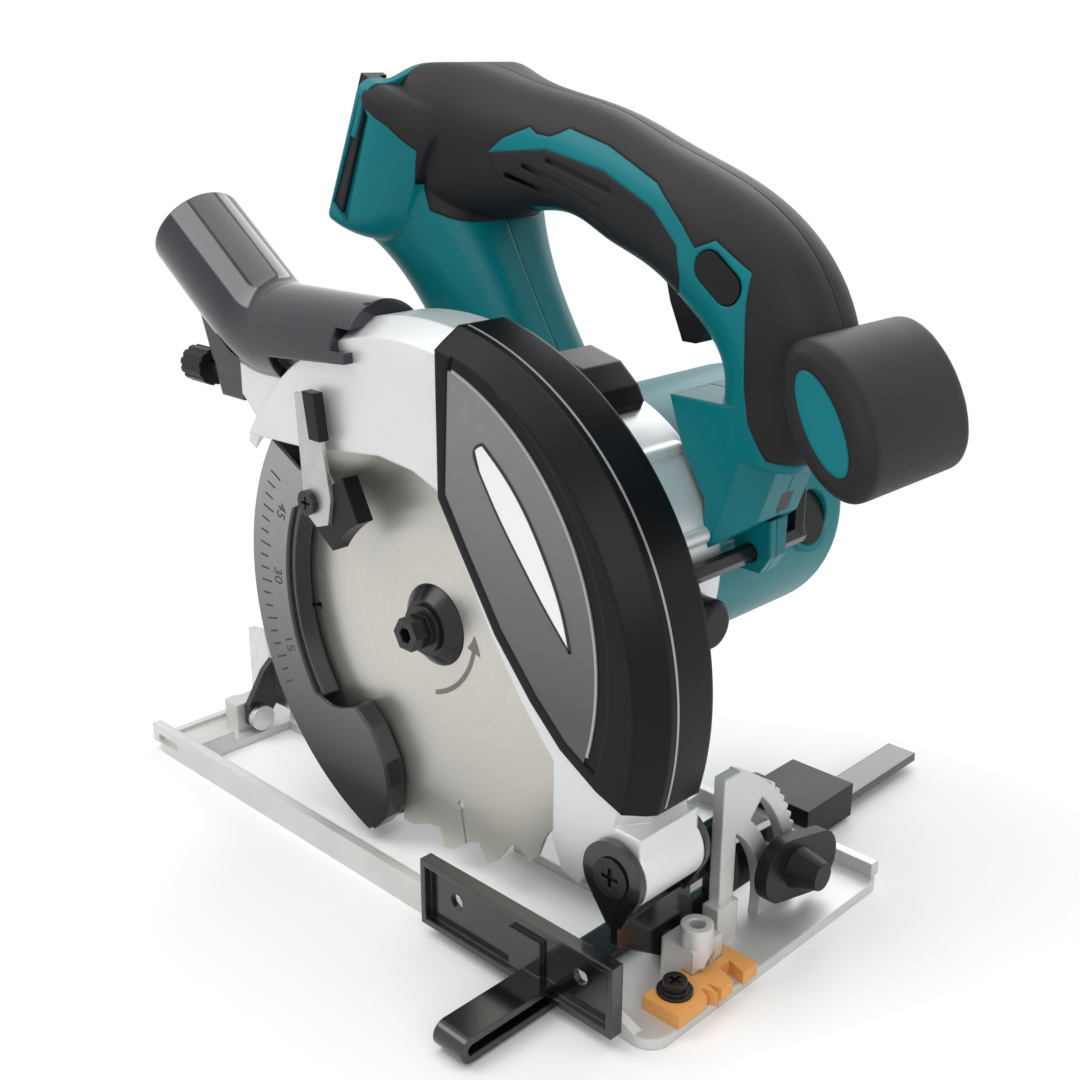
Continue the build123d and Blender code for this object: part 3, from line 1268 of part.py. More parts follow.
with BuildPart() as handle_right:
    add(handle_form.part)
    take_half(True)
    prism(soft_side, HANDLE_Y - CASE_R, HANDLE_Y + CASE_R, Mode.SUBTRACT)
    cut_side_grips(Mode.SUBTRACT)
    prism(core_side, HANDLE_Y - GRIP_CORE, HANDLE_Y - SEAM / 2)
write(handle_right.part, "handle_right")

with BuildPart() as handle_left:
    add(handle_form.part)
    take_half(False)
    prism(soft_side, HANDLE_Y - CASE_R, HANDLE_Y + CASE_R, Mode.SUBTRACT)
    cut_side_grips(Mode.SUBTRACT)
    prism(core_side, HANDLE_Y + SEAM / 2, HANDLE_Y + GRIP_CORE)
write(handle_left.part, "handle_left")

with BuildPart() as soft_right:
    add(handle_form.part)
    take_half(True)
    prism(soft_side, HANDLE_Y - CASE_R, HANDLE_Y + CASE_R, Mode.INTERSECT)
    prism(core_side, HANDLE_Y - GRIP_CORE, HANDLE_Y + GRIP_CORE, Mode.SUBTRACT)
write(soft_right.part, "soft_right")

with BuildPart() as soft_left:
    add(handle_form.part)
    take_half(False)
    prism(soft_side, HANDLE_Y - CASE_R, HANDLE_Y + CASE_R, Mode.INTERSECT)
    prism(core_side, HANDLE_Y - GRIP_CORE, HANDLE_Y + GRIP_CORE, Mode.SUBTRACT)
write(soft_left.part, "soft_left")

with BuildPart() as side_grips:
    add(handle_form.part)
    prism(grip_side, HANDLE_Y - CASE_R, HANDLE_Y + CASE_R, Mode.INTERSECT)
    prism(grip_side, HANDLE_Y - GRIP_CORE, HANDLE_Y + GRIP_CORE, Mode.SUBTRACT)
    prism(soft_side, HANDLE_Y - CASE_R, HANDLE_Y + CASE_R, Mode.SUBTRACT)
    # three long grooves on each flank
    for start, end, inset in (
        ((19.4, 234.5), (45.5, 227), 1.0),
        ((9.9, 232.5), (41, 222), 1.0),
        ((3, 229.5), (43.9, 215.8), 3.2),
    ):
        span = math.dist(start, end)
        lift = math.degrees(math.atan2(end[1] - start[1], end[0] - start[0]))
        middle = ((start[0] + end[0]) / 2, (start[1] + end[1]) / 2)
        for edge in (HANDLE_Y - GRIP_W / 2 + inset, HANDLE_Y + CASE_R):
            with BuildSketch(side(edge)):
                with Locations(Location(middle, lift)):
                    SlotOverall(span, 1.6)
            extrude(amount=CASE_R - GRIP_W / 2 + inset, mode=Mode.SUBTRACT)
write(side_grips.part, "side_grips")

with BuildPart() as holder_bands:
    inner_band = [(-38.1, 251.4), (-36.6, 248.4), (-50.4, 215.7), (-54, 219)]
    prism(inner_band, holder_near + 0.6, holder_near + BAND_DEPTH)
    prism(inner_band, holder_far - BAND_DEPTH, holder_far - 0.6)
write(holder_bands.part, "holder_bands")

# Front knob with an oval inlay in each end
INSERT_DEPTH = 1.0
knob_place = Location(KNOB, KNOB_TILT)
with BuildPart() as front_knob:
    with BuildSketch(side(HANDLE_Y + KNOB_HALF)):
        with Locations(knob_place):
            Ellipse(KNOB_LONG, KNOB_SHORT)
    extrude(amount=2 * KNOB_HALF)
    ends = front_knob.faces().filter_by(Axis.Y).edges()
    chamfer(ends, 3.0)
    hull_prism((104, 180), 13.0, (122, 178), 11.0, HANDLE_Y - 14, HANDLE_Y + 14)
    add(handle_form.part, mode=Mode.SUBTRACT)
    for end_y in (HANDLE_Y - KNOB_HALF + INSERT_DEPTH, HANDLE_Y + KNOB_HALF):
        with BuildSketch(side(end_y)):
            with Locations(knob_place):
                Ellipse(KNOB_LONG - 8, KNOB_SHORT - 6.5)
        extrude(amount=INSERT_DEPTH, mode=Mode.SUBTRACT)
write(front_knob.part, "front_knob")

with BuildPart() as knob_inlays:
    for end_y in (HANDLE_Y - KNOB_HALF + INSERT_DEPTH, HANDLE_Y + KNOB_HALF):
        with BuildSketch(side(end_y)):
            with Locations(knob_place):
                Ellipse(KNOB_LONG - 8, KNOB_SHORT - 6.5)
        extrude(amount=INSERT_DEPTH)
write(knob_inlays.part, "knob_inlays")

# Trigger, lock-off button, switch, lamp, screws and hex key
with BuildPart() as trigger:
    prism(trigger_side, HANDLE_Y - TRIGGER_HALF, HANDLE_Y + TRIGGER_HALF)
write(trigger.part, "trigger")

with BuildPart() as lock_off_button:
    with BuildSketch(side(HANDLE_Y + GRIP_W / 2 + BUTTON_OUT)):
        with Locations(Location(BUTTON, BUTTON_TILT)):
            SlotOverall(BUTTON_LONG, BUTTON_WIDE)
    extrude(amount=GRIP_W + 2 * BUTTON_OUT)
write(lock_off_button.part, "lock_off_button")

with BuildPart() as switch_body:
    switch_block = [(44.5, 214.5), (44.5, 225.5), (58, 223), (70, 215.4), (70, 212.6), (60, 212.6)]
    prism(switch_block, HANDLE_Y - 9, HANDLE_Y + 9)
write(switch_body.part, "switch_body")

with BuildPart() as led_lens:
    prism(led_side, LED_NEAR, LED_FAR)
write(led_lens.part, "led_lens")

with BuildPart() as handle_screws:
    for place in screw_places:
        disc(place, 3.0, HANDLE_Y + 10, HANDLE_Y + GRIP_W / 2 - 0.6)
        with BuildSketch(side(HANDLE_Y + GRIP_W / 2)):
            with Locations(place):
                RegularPolygon(1.6, 6)
        extrude(amount=2, mode=Mode.SUBTRACT)
write(handle_screws.part, "handle_screws")

with BuildPart() as hex_key:
    key_far = HANDLE_Y + GRIP_W / 2 + SEAT + KEY_AF
    with BuildSketch(side(key_far)):
        with Locations(KEY):
            RegularPolygon(KEY_AF / 2, 6, major_radius=False)
    extrude(amount=key_far - KEY_NEAR)
    with BuildSketch(plan(KEY[1])):
        with Locations((KEY[0], key_far - KEY_AF / 2)):
            RegularPolygon(KEY_AF / 2, 6, major_radius=False)
    extrude(amount=22)
write(hex_key.part, "hex_key")

with BuildPart() as shaft_lock:
    rod_x(LOCK_Y, LOCK_Z, LOCK_R, 78, 95)
    tip = shaft_lock.faces().sort_by(Axis.X)[-1].edges()
    fillet(tip, 2.5)
write(shaft_lock.part, "shaft_lock")

# Battery shoe on the rear of the handle, and its contacts
SHOE_T = 4.0
RAIL_DEPTH = 5.0
rear_top = Vector(-38, 257)
rear_low = Vector(-58, 212)
rear_out = Vector(-0.914, 0.406)


def shoe_band(start, end, near, far):
    """Outline on the rear face between two shares of its length and two heights above it."""
    low = rear_top + (rear_low - rear_top) * start
    high = rear_top + (rear_low - rear_top) * end
    inner = [low + rear_out * near, high + rear_out * near]
    outer = [high + rear_out * far, low + rear_out * far]
    return [(corner.X, corner.Y) for corner in inner + outer]


with BuildPart() as battery_shoe:
    prism(shoe_band(0.05, 0.95, 0, SHOE_T), HANDLE_Y - 35, HANDLE_Y + 35)
    for rail_y in (HANDLE_Y - 33, HANDLE_Y + 27):
        prism(shoe_band(0.05, 0.95, SHOE_T, SHOE_T + RAIL_DEPTH), rail_y, rail_y + 6)
    for lip_y in (HANDLE_Y - 33, HANDLE_Y + 24):
        prism(shoe_band(0.05, 0.95, SHOE_T + RAIL_DEPTH - 2, SHOE_T + RAIL_DEPTH), lip_y, lip_y + 9)
write(battery_shoe.part, "battery_shoe")

with BuildPart() as battery_contacts:
    for contact_y in (HANDLE_Y - 14, HANDLE_Y, HANDLE_Y + 14):
        prism(shoe_band(0.3, 0.6, SHOE_T, SHOE_T + 6), contact_y - 0.5, contact_y + 0.5)
write(battery_contacts.part, "battery_contacts")
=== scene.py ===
"""Dresses the circular saw: finishes, printed marks, thin trim, painted highlight lines, floor, light and
camera.
"""

from __future__ import annotations

import json
import logging
import math
from dataclasses import dataclass, field
from enum import Enum

import bmesh
import bpy
import numpy as np
from mathutils import Matrix, Vector

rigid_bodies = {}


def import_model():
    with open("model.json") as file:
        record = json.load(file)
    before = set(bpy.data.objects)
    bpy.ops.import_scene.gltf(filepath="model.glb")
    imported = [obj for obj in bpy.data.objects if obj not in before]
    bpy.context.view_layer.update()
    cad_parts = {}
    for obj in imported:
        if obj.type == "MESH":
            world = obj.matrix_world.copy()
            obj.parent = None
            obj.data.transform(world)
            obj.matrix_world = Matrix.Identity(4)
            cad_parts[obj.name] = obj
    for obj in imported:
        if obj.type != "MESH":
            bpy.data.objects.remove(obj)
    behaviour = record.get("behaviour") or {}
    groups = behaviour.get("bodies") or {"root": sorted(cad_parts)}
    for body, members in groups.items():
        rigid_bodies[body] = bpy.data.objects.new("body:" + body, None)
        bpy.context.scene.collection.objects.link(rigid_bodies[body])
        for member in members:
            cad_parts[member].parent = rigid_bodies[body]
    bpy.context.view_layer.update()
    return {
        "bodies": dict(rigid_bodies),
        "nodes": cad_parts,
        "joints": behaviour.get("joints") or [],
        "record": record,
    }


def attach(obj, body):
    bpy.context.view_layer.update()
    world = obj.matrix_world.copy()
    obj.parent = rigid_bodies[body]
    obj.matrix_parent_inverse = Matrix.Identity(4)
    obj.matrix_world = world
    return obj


LOG = logging.getLogger("saw")
Colour = tuple[float, float, float]
Point = tuple[float, float, float]
FlatPoint = tuple[float, float]

MM = 0.001
BLADE_Y = -0.066
BLADE_AXIS = (0.0, BLADE_Y, 0.0883)
HANDLE_Y = -0.018

# Values that all finishes share
COAT_ROUGHNESS = 0.08
GLOSS_SWING = 0.06
GLOSS_LOWEST = 0.02
BUMP_DISTANCE = 0.0004
CLOUD_DETAIL = 4.0
FINE_DETAIL = 2.0
CLOUD_RANGE = (0.3, 0.7)
TURNED_ANISOTROPY = 0.55
EDGE_SAMPLES = 4

# Sockets of the Mix node when it mixes colours
MIX_FACTOR = 0
MIX_FIRST = 6
MIX_SECOND = 7
MIX_RESULT = 2


class Surface(Enum):
    """Kinds of surface, each with its own grain."""

    CAST = "cast"
    MOULDED = "moulded"
    SOFT = "soft"
    ENAMEL = "enamel"
    TURNED = "turned"
    GROUND = "ground"


@dataclass(frozen=True)
class Finish:
    """One finish: colour, gloss and grain of a surface."""

    name: str
    colour: Colour
    surface: Surface
    roughness: float
    metallic: float = 0.0
    mottle: float = 0.06
    bump: float = 0.03
    edge: float = 0.0006
    coat: float = 0.0
    specular: float = 0.5
    low_colour: Colour | None = None
    fade: tuple[float, float] = (0.0, 1.0)

    def _grain(self) -> tuple[float, float]:
        """Noise scale of the colour clouds and of the fine bumps, per metre."""
        scales = {
            Surface.CAST: (60.0, 2600.0),
            Surface.MOULDED: (40.0, 3800.0),
            Surface.SOFT: (50.0, 5200.0),
            Surface.ENAMEL: (30.0, 900.0),
            Surface.TURNED: (300.0, 9000.0),
            Surface.GROUND: (200.0, 4000.0),
        }
        return scales[self.surface]

    def material(self) -> bpy.types.Material:
        """Build the node material.

        Returns:
            A material whose colour, roughness and normal follow noise on Object coordinates.
        """
        cloud_scale, bump_scale = self._grain()
        mat = bpy.data.materials.new(self.name)
        mat.use_nodes = True
        nodes, links = mat.node_tree.nodes, mat.node_tree.links
        shader = nodes["Principled BSDF"]
        shader.inputs["Metallic"].default_value = self.metallic
        shader.inputs["Coat Weight"].default_value = self.coat
        shader.inputs["Coat Roughness"].default_value = COAT_ROUGHNESS
        shader.inputs["Specular IOR Level"].default_value = self.specular
        coords = nodes.new("ShaderNodeTexCoord")
        vector = coords.outputs["Object"]
        if self.surface is Surface.TURNED:
            shader.inputs["Anisotropic"].default_value = TURNED_ANISOTROPY
            vector, tangent = self._turned(nodes, links, vector)
            links.new(tangent, shader.inputs["Tangent"])
        cloud = nodes.new("ShaderNodeTexNoise")
        cloud.inputs["Scale"].default_value = cloud_scale
        cloud.inputs["Detail"].default_value = CLOUD_DETAIL
        links.new(vector, cloud.inputs["Vector"])
        ramp = nodes.new("ShaderNodeValToRGB")
        dark = tuple(channel * (1.0 - self.mottle) for channel in self.colour)
        light = tuple(min(1.0, channel * (1.0 + self.mottle)) for channel in self.colour)
        for stop, position, colour in zip(ramp.color_ramp.elements, CLOUD_RANGE, (dark, light)):
            stop.position = position
            stop.color = (*colour, 1.0)
        links.new(cloud.outputs["Fac"], ramp.inputs["Fac"])
        shade = ramp.outputs["Color"]
        if self.low_colour is not None:
            shade = self._faded(nodes, links, coords.outputs["Object"], shade)
        links.new(shade, shader.inputs["Base Color"])
        gloss = nodes.new("ShaderNodeMapRange")
        gloss.inputs["To Min"].default_value = max(GLOSS_LOWEST, self.roughness - GLOSS_SWING)
        gloss.inputs["To Max"].default_value = min(1.0, self.roughness + GLOSS_SWING)
        links.new(cloud.outputs["Fac"], gloss.inputs["Value"])
        links.new(gloss.outputs["Result"], shader.inputs["Roughness"])
        fine = nodes.new("ShaderNodeTexNoise")
        fine.inputs["Scale"].default_value = bump_scale
        fine.inputs["Detail"].default_value = FINE_DETAIL
        links.new(vector, fine.inputs["Vector"])
        bump = nodes.new("ShaderNodeBump")
        bump.inputs["Strength"].default_value = self.bump
        bump.inputs["Distance"].default_value = BUMP_DISTANCE
        links.new(fine.outputs["Fac"], bump.inputs["Height"])
        if self.edge > 0.0:
            rounding = nodes.new("ShaderNodeBevel")
            rounding.samples = EDGE_SAMPLES
            rounding.inputs["Radius"].default_value = self.edge
            links.new(rounding.outputs["Normal"], bump.inputs["Normal"])
        links.new(bump.outputs["Normal"], shader.inputs["Normal"])
        return mat

    @staticmethod
    def _turned(
        nodes: bpy.types.Nodes,
        links: bpy.types.NodeLinks,
        vector: bpy.types.NodeSocket,
    ) -> tuple[bpy.types.NodeSocket, bpy.types.NodeSocket]:
        """Swap the coordinates for the distance from the blade axis, which makes ring marks.

        Args:
            nodes: The material's nodes.
            links: The material's links.
            vector: Object coordinates.

        Returns:
            A vector whose first part is the distance from the blade axis, and the direction
            round that axis.
        """
        shift = nodes.new("ShaderNodeMapping")
        shift.inputs["Location"].default_value = tuple(-part for part in BLADE_AXIS)
        links.new(vector, shift.inputs["Vector"])
        flat = nodes.new("ShaderNodeVectorMath")
        flat.operation = "MULTIPLY"
        flat.inputs[1].default_value = (1.0, 0.0, 1.0)
        links.new(shift.outputs["Vector"], flat.inputs[0])
        length = nodes.new("ShaderNodeVectorMath")
        length.operation = "LENGTH"
        links.new(flat.outputs["Vector"], length.inputs[0])
        ring = nodes.new("ShaderNodeCombineXYZ")
        links.new(length.outputs["Value"], ring.inputs["X"])
        around = nodes.new("ShaderNodeVectorMath")
        around.operation = "CROSS_PRODUCT"
        around.inputs[1].default_value = (0.0, 1.0, 0.0)
        links.new(flat.outputs["Vector"], around.inputs[0])
        return ring.outputs["Vector"], around.outputs["Vector"]

    def _faded(
        self,
        nodes: bpy.types.Nodes,
        links: bpy.types.NodeLinks,
        vector: bpy.types.NodeSocket,
        shade: bpy.types.NodeSocket,
    ) -> bpy.types.NodeSocket:
        """Let the colour change with height, from the low colour to the finish's own.

        Args:
            nodes: The material's nodes.
            links: The material's links.
            vector: Object coordinates.
            shade: The finish's own colour.

        Returns:
            The colour that changes between the two heights of the fade.
        """
        parts = nodes.new("ShaderNodeSeparateXYZ")
        links.new(vector, parts.inputs["Vector"])
        rise = nodes.new("ShaderNodeMapRange")
        rise.inputs["From Min"].default_value = self.fade[0]
        rise.inputs["From Max"].default_value = self.fade[1]
        links.new(parts.outputs["Z"], rise.inputs["Value"])
        blend = nodes.new("ShaderNodeMix")
        blend.data_type = "RGBA"
        blend.inputs[MIX_FIRST].default_value = (*self.low_colour, 1.0)
        links.new(rise.outputs["Result"], blend.inputs[MIX_FACTOR])
        links.new(shade, blend.inputs[MIX_SECOND])
        return blend.outputs[MIX_RESULT]


CASE_ALLOY = Finish("case alloy", (0.72, 0.73, 0.735), Surface.CAST, 0.38, 0.55, 0.03, 0.05, 0.0012)
BASE_ALLOY = Finish("base alloy", (0.64, 0.64, 0.625), Surface.CAST, 0.45, 0.5, 0.05, 0.10, 0.0010)
BRIGHT_STEEL = Finish("bright steel", (0.62, 0.62, 0.62), Surface.GROUND, 0.28, 1.0, 0.06, 0.02)
LEVER_STEEL = Finish("lever steel", (0.50, 0.50, 0.49), Surface.GROUND, 0.36, 0.8, 0.05, 0.02, 0.0004)
BLADE_STEEL = Finish("blade steel", (0.57, 0.555, 0.515), Surface.TURNED, 0.36, 0.85, 0.03, 0.02, 0.0)
DARK_STEEL = Finish("dark steel", (0.018, 0.018, 0.020), Surface.GROUND, 0.26, 0.4, 0.15, 0.03)
GUARD_STEEL = Finish(
    "guard steel",
    (0.34, 0.345, 0.35),
    Surface.GROUND,
    0.40,
    0.6,
    0.04,
    0.03,
    0.0005,
    low_colour=(0.035, 0.036, 0.038),
    fade=(0.020, 0.135),
)
BLACK_ENAMEL = Finish(
    "black enamel", (0.006, 0.006, 0.007), Surface.ENAMEL, 0.18, 0.0, 0.15, 0.02, 0.001, 0.4
)
BODY_TEAL = Finish(
    "teal shell", (0.0, 0.165, 0.190), Surface.MOULDED, 0.36, 0.0, 0.05, 0.05, 0.0014, specular=0.2
)
SOFT_BLACK = Finish(
    "soft cover", (0.016, 0.0155, 0.017), Surface.SOFT, 0.50, 0.0, 0.12, 0.14, 0.0016, specular=0.2
)
COVER_BLACK = Finish(
    "cover black", (0.005, 0.005, 0.006), Surface.MOULDED, 0.30, 0.0, 0.12, 0.06, 0.0014, specular=0.15
)
PART_BLACK = Finish(
    "small black parts", (0.008, 0.008, 0.009), Surface.MOULDED, 0.34, 0.0, 0.12, 0.05, specular=0.2
)
NOZZLE_BLACK = Finish(
    "nozzle gloss", (0.004, 0.005, 0.011), Surface.ENAMEL, 0.08, 0.0, 0.10, 0.004, 0.0014, 0.3
)
PANEL_GREY = Finish(
    "cover panel",
    (0.21, 0.21, 0.205),
    Surface.GROUND,
    0.42,
    0.4,
    0.04,
    0.03,
    0.0003,
    low_colour=(0.085, 0.087, 0.090),
    fade=(0.085, 0.165),
)
PALE_INLAY = Finish("pale inlay", (0.86, 0.87, 0.88), Surface.ENAMEL, 0.18, 0.1, 0.02, 0.01, 0.0002)
ORANGE = Finish("orange guide", (0.76, 0.345, 0.085), Surface.MOULDED, 0.42, 0.0, 0.05, 0.06, 0.0006)
LENS = Finish("lamp lens", (0.012, 0.013, 0.015), Surface.ENAMEL, 0.35, 0.0, 0.1, 0.01, 0.0002, specular=0.2)
COPPER = Finish("contact metal", (0.56, 0.30, 0.14), Surface.GROUND, 0.30, 1.0, 0.10, 0.02, 0.0)
PRINT = Finish("scale print", (0.010, 0.010, 0.011), Surface.ENAMEL, 0.5, 0.0, 0.2, 0.01, 0.0)
ETCHED = Finish("etched mark", (0.19, 0.175, 0.155), Surface.ENAMEL, 0.5, 0.2, 0.08, 0.01, 0.0)
# Painted highlight: pale strips that stand in for the light caught along the edge of the cover's panel and on
# the cover's rim.
PAINTED_EDGE_HIGHLIGHT = Finish("painted edge highlight", (0.36, 0.36, 0.35), Surface.ENAMEL, 0.3, 0.3, 0.04, 0.01, 0.0)

NODE_FINISH: dict[Finish, tuple[str, ...]] = {
    CASE_ALLOY: ("blade_case", "gear_housing"),
    BASE_ALLOY: ("base_plate",),
    BRIGHT_STEEL: (
        "depth_guide",
        "bevel_pins",
        "bevel_bolt",
        "field_frame",
        "bearings",
        "spindle",
        "drive_gear",
        "armature",
        "guard_spring",
        "clamp_bolt",
    ),
    BLADE_STEEL: ("blade",),
    LEVER_STEEL: ("guard_lever",),
    DARK_STEEL: (
        "sight_guide_screw",
        "depth_pin",
        "fence_clamp_screw",
        "inner_flange",
        "outer_flange",
        "blade_bolt",
        "lever_screw",
        "handle_screws",
        "hex_key",
        "brushes",
    ),
    GUARD_STEEL: ("lower_guard",),
    BLACK_ENAMEL: ("front_bracket", "rear_bracket", "rip_fence"),
    BODY_TEAL: ("handle_right", "handle_left", "motor_housing", "knob_inlays"),
    SOFT_BLACK: ("soft_right", "soft_left", "side_grips", "front_knob", "holder_bands"),
    COVER_BLACK: ("case_cover", "housing_cap"),
    PANEL_GREY: ("cover_panel",),
    PART_BLACK: (
        "bar_clamp",
        "lever_holder",
        "bevel_knob",
        "brush_caps",
        "motor_fan",
        "lever_sleeve",
        "depth_lever",
        "nozzle_screw",
        "trigger",
        "lock_off_button",
        "switch_body",
        "shaft_lock",
        "battery_shoe",
    ),
    NOZZLE_BLACK: ("dust_nozzle", "guard_lining"),
    PALE_INLAY: ("cover_inlay",),
    ORANGE: ("sight_guide",),
    LENS: ("led_lens",),
    COPPER: ("battery_contacts",),
}


def put_mesh(name: str, points: np.ndarray, faces: np.ndarray) -> bpy.types.Object:
    """Make an object from an array of points and an array of faces.

    Args:
        name: Name of the piece.
        points: Points, one row each, in metres in the saw's frame.
        faces: Corner numbers, one row for each face.

    Returns:
        The new object, linked into the scene.
    """
    mesh = bpy.data.meshes.new(name)
    mesh.from_pydata(points.tolist(), [], faces.tolist())
    mesh.validate()
    shell = bmesh.new()
    shell.from_mesh(mesh)
    bmesh.ops.recalc_face_normals(shell, faces=shell.faces)
    shell.to_mesh(mesh)
    shell.free()
    mesh.update()
    piece = bpy.data.objects.new(name, mesh)
    bpy.context.scene.collection.objects.link(piece)
    return piece


def slabs(corners: np.ndarray, depth: np.ndarray) -> tuple[np.ndarray, np.ndarray]:
    """Flat four-sided plates of one thickness.

    Each plate is its four corners and the same four moved by the depth vector.

    Args:
        corners: Array of plates by four corners by three.
        depth: Vector from the front face to the back face.

    Returns:
        Points and four-sided faces of all the plates.
    """
    count = len(corners)
    points = np.concatenate([corners, corners + depth], axis=1).reshape(-1, 3)
    side = np.array(
        [[0, 1, 2, 3], [7, 6, 5, 4], [0, 4, 5, 1], [1, 5, 6, 2], [2, 6, 7, 3], [3, 7, 4, 0]]
    )
    faces = (np.arange(count)[:, None, None] * 8 + side[None]).reshape(-1, 4)
    return points, faces


def smooth_line(points: np.ndarray, count: int) -> np.ndarray:
    """Natural cubic spline through the points, by chord length.

    Between two knots the curve is the cubic whose second derivatives solve the usual
    tridiagonal system, zero at both ends.

    Args:
        points: Knots, one row each.
        count: Number of points on the curve.

    Returns:
        Evenly spaced points of the curve.
    """
    steps = np.linalg.norm(np.diff(points, axis=0), axis=1)
    knots = np.concatenate([[0.0], np.cumsum(steps)])
    size = len(points)
    system = np.eye(size)
    right = np.zeros_like(points)
    inner = np.arange(1, size - 1)
    system[inner, inner - 1] = steps[:-1]
    system[inner, inner] = 2.0 * (steps[:-1] + steps[1:])
    system[inner, inner + 1] = steps[1:]
    slopes = np.diff(points, axis=0) / steps[:, None]
    right[inner] = 6.0 * (slopes[1:] - slopes[:-1])
    bend = np.linalg.solve(system, right)
    at = np.linspace(0.0, knots[-1], count)
    span = np.clip(np.searchsorted(knots, at, side="right") - 1, 0, size - 2)
    width = steps[span][:, None]
    after = (at - knots[span])[:, None]
    before = width - after
    cubic = (bend[span] * before**3 + bend[span + 1] * after**3) / (6.0 * width)
    left = points[span] / width - bend[span] * width / 6.0
    far = points[span + 1] / width - bend[span + 1] * width / 6.0
    return cubic + left * before + far * after


def ribbon(middle: np.ndarray, half: np.ndarray, depth: np.ndarray) -> tuple[np.ndarray, np.ndarray]:
    """A closed strip along a line.

    Each station of the line is a four-cornered ring: the middle less and plus half the width,
    and the same two moved by the depth.

    Args:
        middle: Middle of the strip, one row for each station.
        half: Half of the width as a vector at each station.
        depth: Vector from the front face to the back face at each station.

    Returns:
        Points and four-sided faces of the strip, with both ends closed.
    """
    rings = np.stack([middle - half, middle + half, middle + half + depth, middle - half + depth], axis=1)
    count = len(middle)
    station = np.arange(count - 1)[:, None] * 4
    corner = np.arange(4)[None]
    turned = (corner + 1) % 4
    sides = np.stack([station + corner, station + turned, station + 4 + turned, station + 4 + corner], axis=2)
    ends = np.array([[0, 1, 2, 3], [4 * count - 1, 4 * count - 2, 4 * count - 3, 4 * count - 4]])
    return rings.reshape(-1, 3), np.concatenate([sides.reshape(-1, 4), ends])


def spokes(turn: np.ndarray) -> np.ndarray:
    """Unit vectors in the blade's plane: cosine forward and sine up at each angle in radians."""
    return np.stack([np.cos(turn), np.zeros_like(turn), np.sin(turn)], axis=1)


def across(line: np.ndarray, normal: np.ndarray) -> np.ndarray:
    """Unit vectors across a line on a surface: the normal crossed with the line's direction."""
    sideways = np.cross(normal, np.gradient(line, axis=0))
    return sideways / np.linalg.norm(sideways, axis=1, keepdims=True)


def finish_piece(piece: bpy.types.Object, mat: bpy.types.Material, body: str) -> None:
    """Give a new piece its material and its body.

    Args:
        piece: The new piece.
        mat: Its material.
        body: Body that it moves with.
    """
    piece.data.materials.clear()
    piece.data.materials.append(mat)
    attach(piece, body)
    LOG.info("%s rides on %s", piece.name, body)


@dataclass
class FinishedSolids:
    """The solids of the part, each with its finish."""

    finishes: dict[Finish, tuple[str, ...]] = field(default_factory=lambda: NODE_FINISH)

    def dress(self, frame: dict) -> dict[Finish, bpy.types.Material]:
        """Give every solid its material.

        Args:
            frame: The loaded frame.

        Returns:
            The material made for each finish.
        """
        made = {finish: finish.material() for finish in self.finishes}
        named = {node: finish for finish, nodes in self.finishes.items() for node in nodes}
        for node, piece in frame["nodes"].items():
            piece.data.materials.clear()
            piece.data.materials.append(made[named[node]])
            LOG.info("%s: %s", node, named[node].name)
        return made


@dataclass
class RoundedKnob:
    """Rounded look of the front knob: an even skin over the solid, relaxed a little."""

    node: str = "front_knob"
    cell: float = 0.0009
    relax_factor: float = 0.5
    rounds: int = 18

    def build(self, frame: dict) -> None:
        """Put the skin on the solid as modifiers, which leave the solid's own mesh alone.

        Args:
            frame: The loaded frame.
        """
        piece = frame["nodes"][self.node]
        skin = piece.modifiers.new("skin", "REMESH")
        skin.mode = "VOXEL"
        skin.voxel_size = self.cell
        skin.use_smooth_shade = True
        relax = piece.modifiers.new("relax", "SMOOTH")
        relax.factor = self.relax_factor
        relax.iterations = self.rounds
        bpy.context.view_layer.update()
        LOG.info("%s: skin of %.1f mm cells", self.node, self.cell / MM)


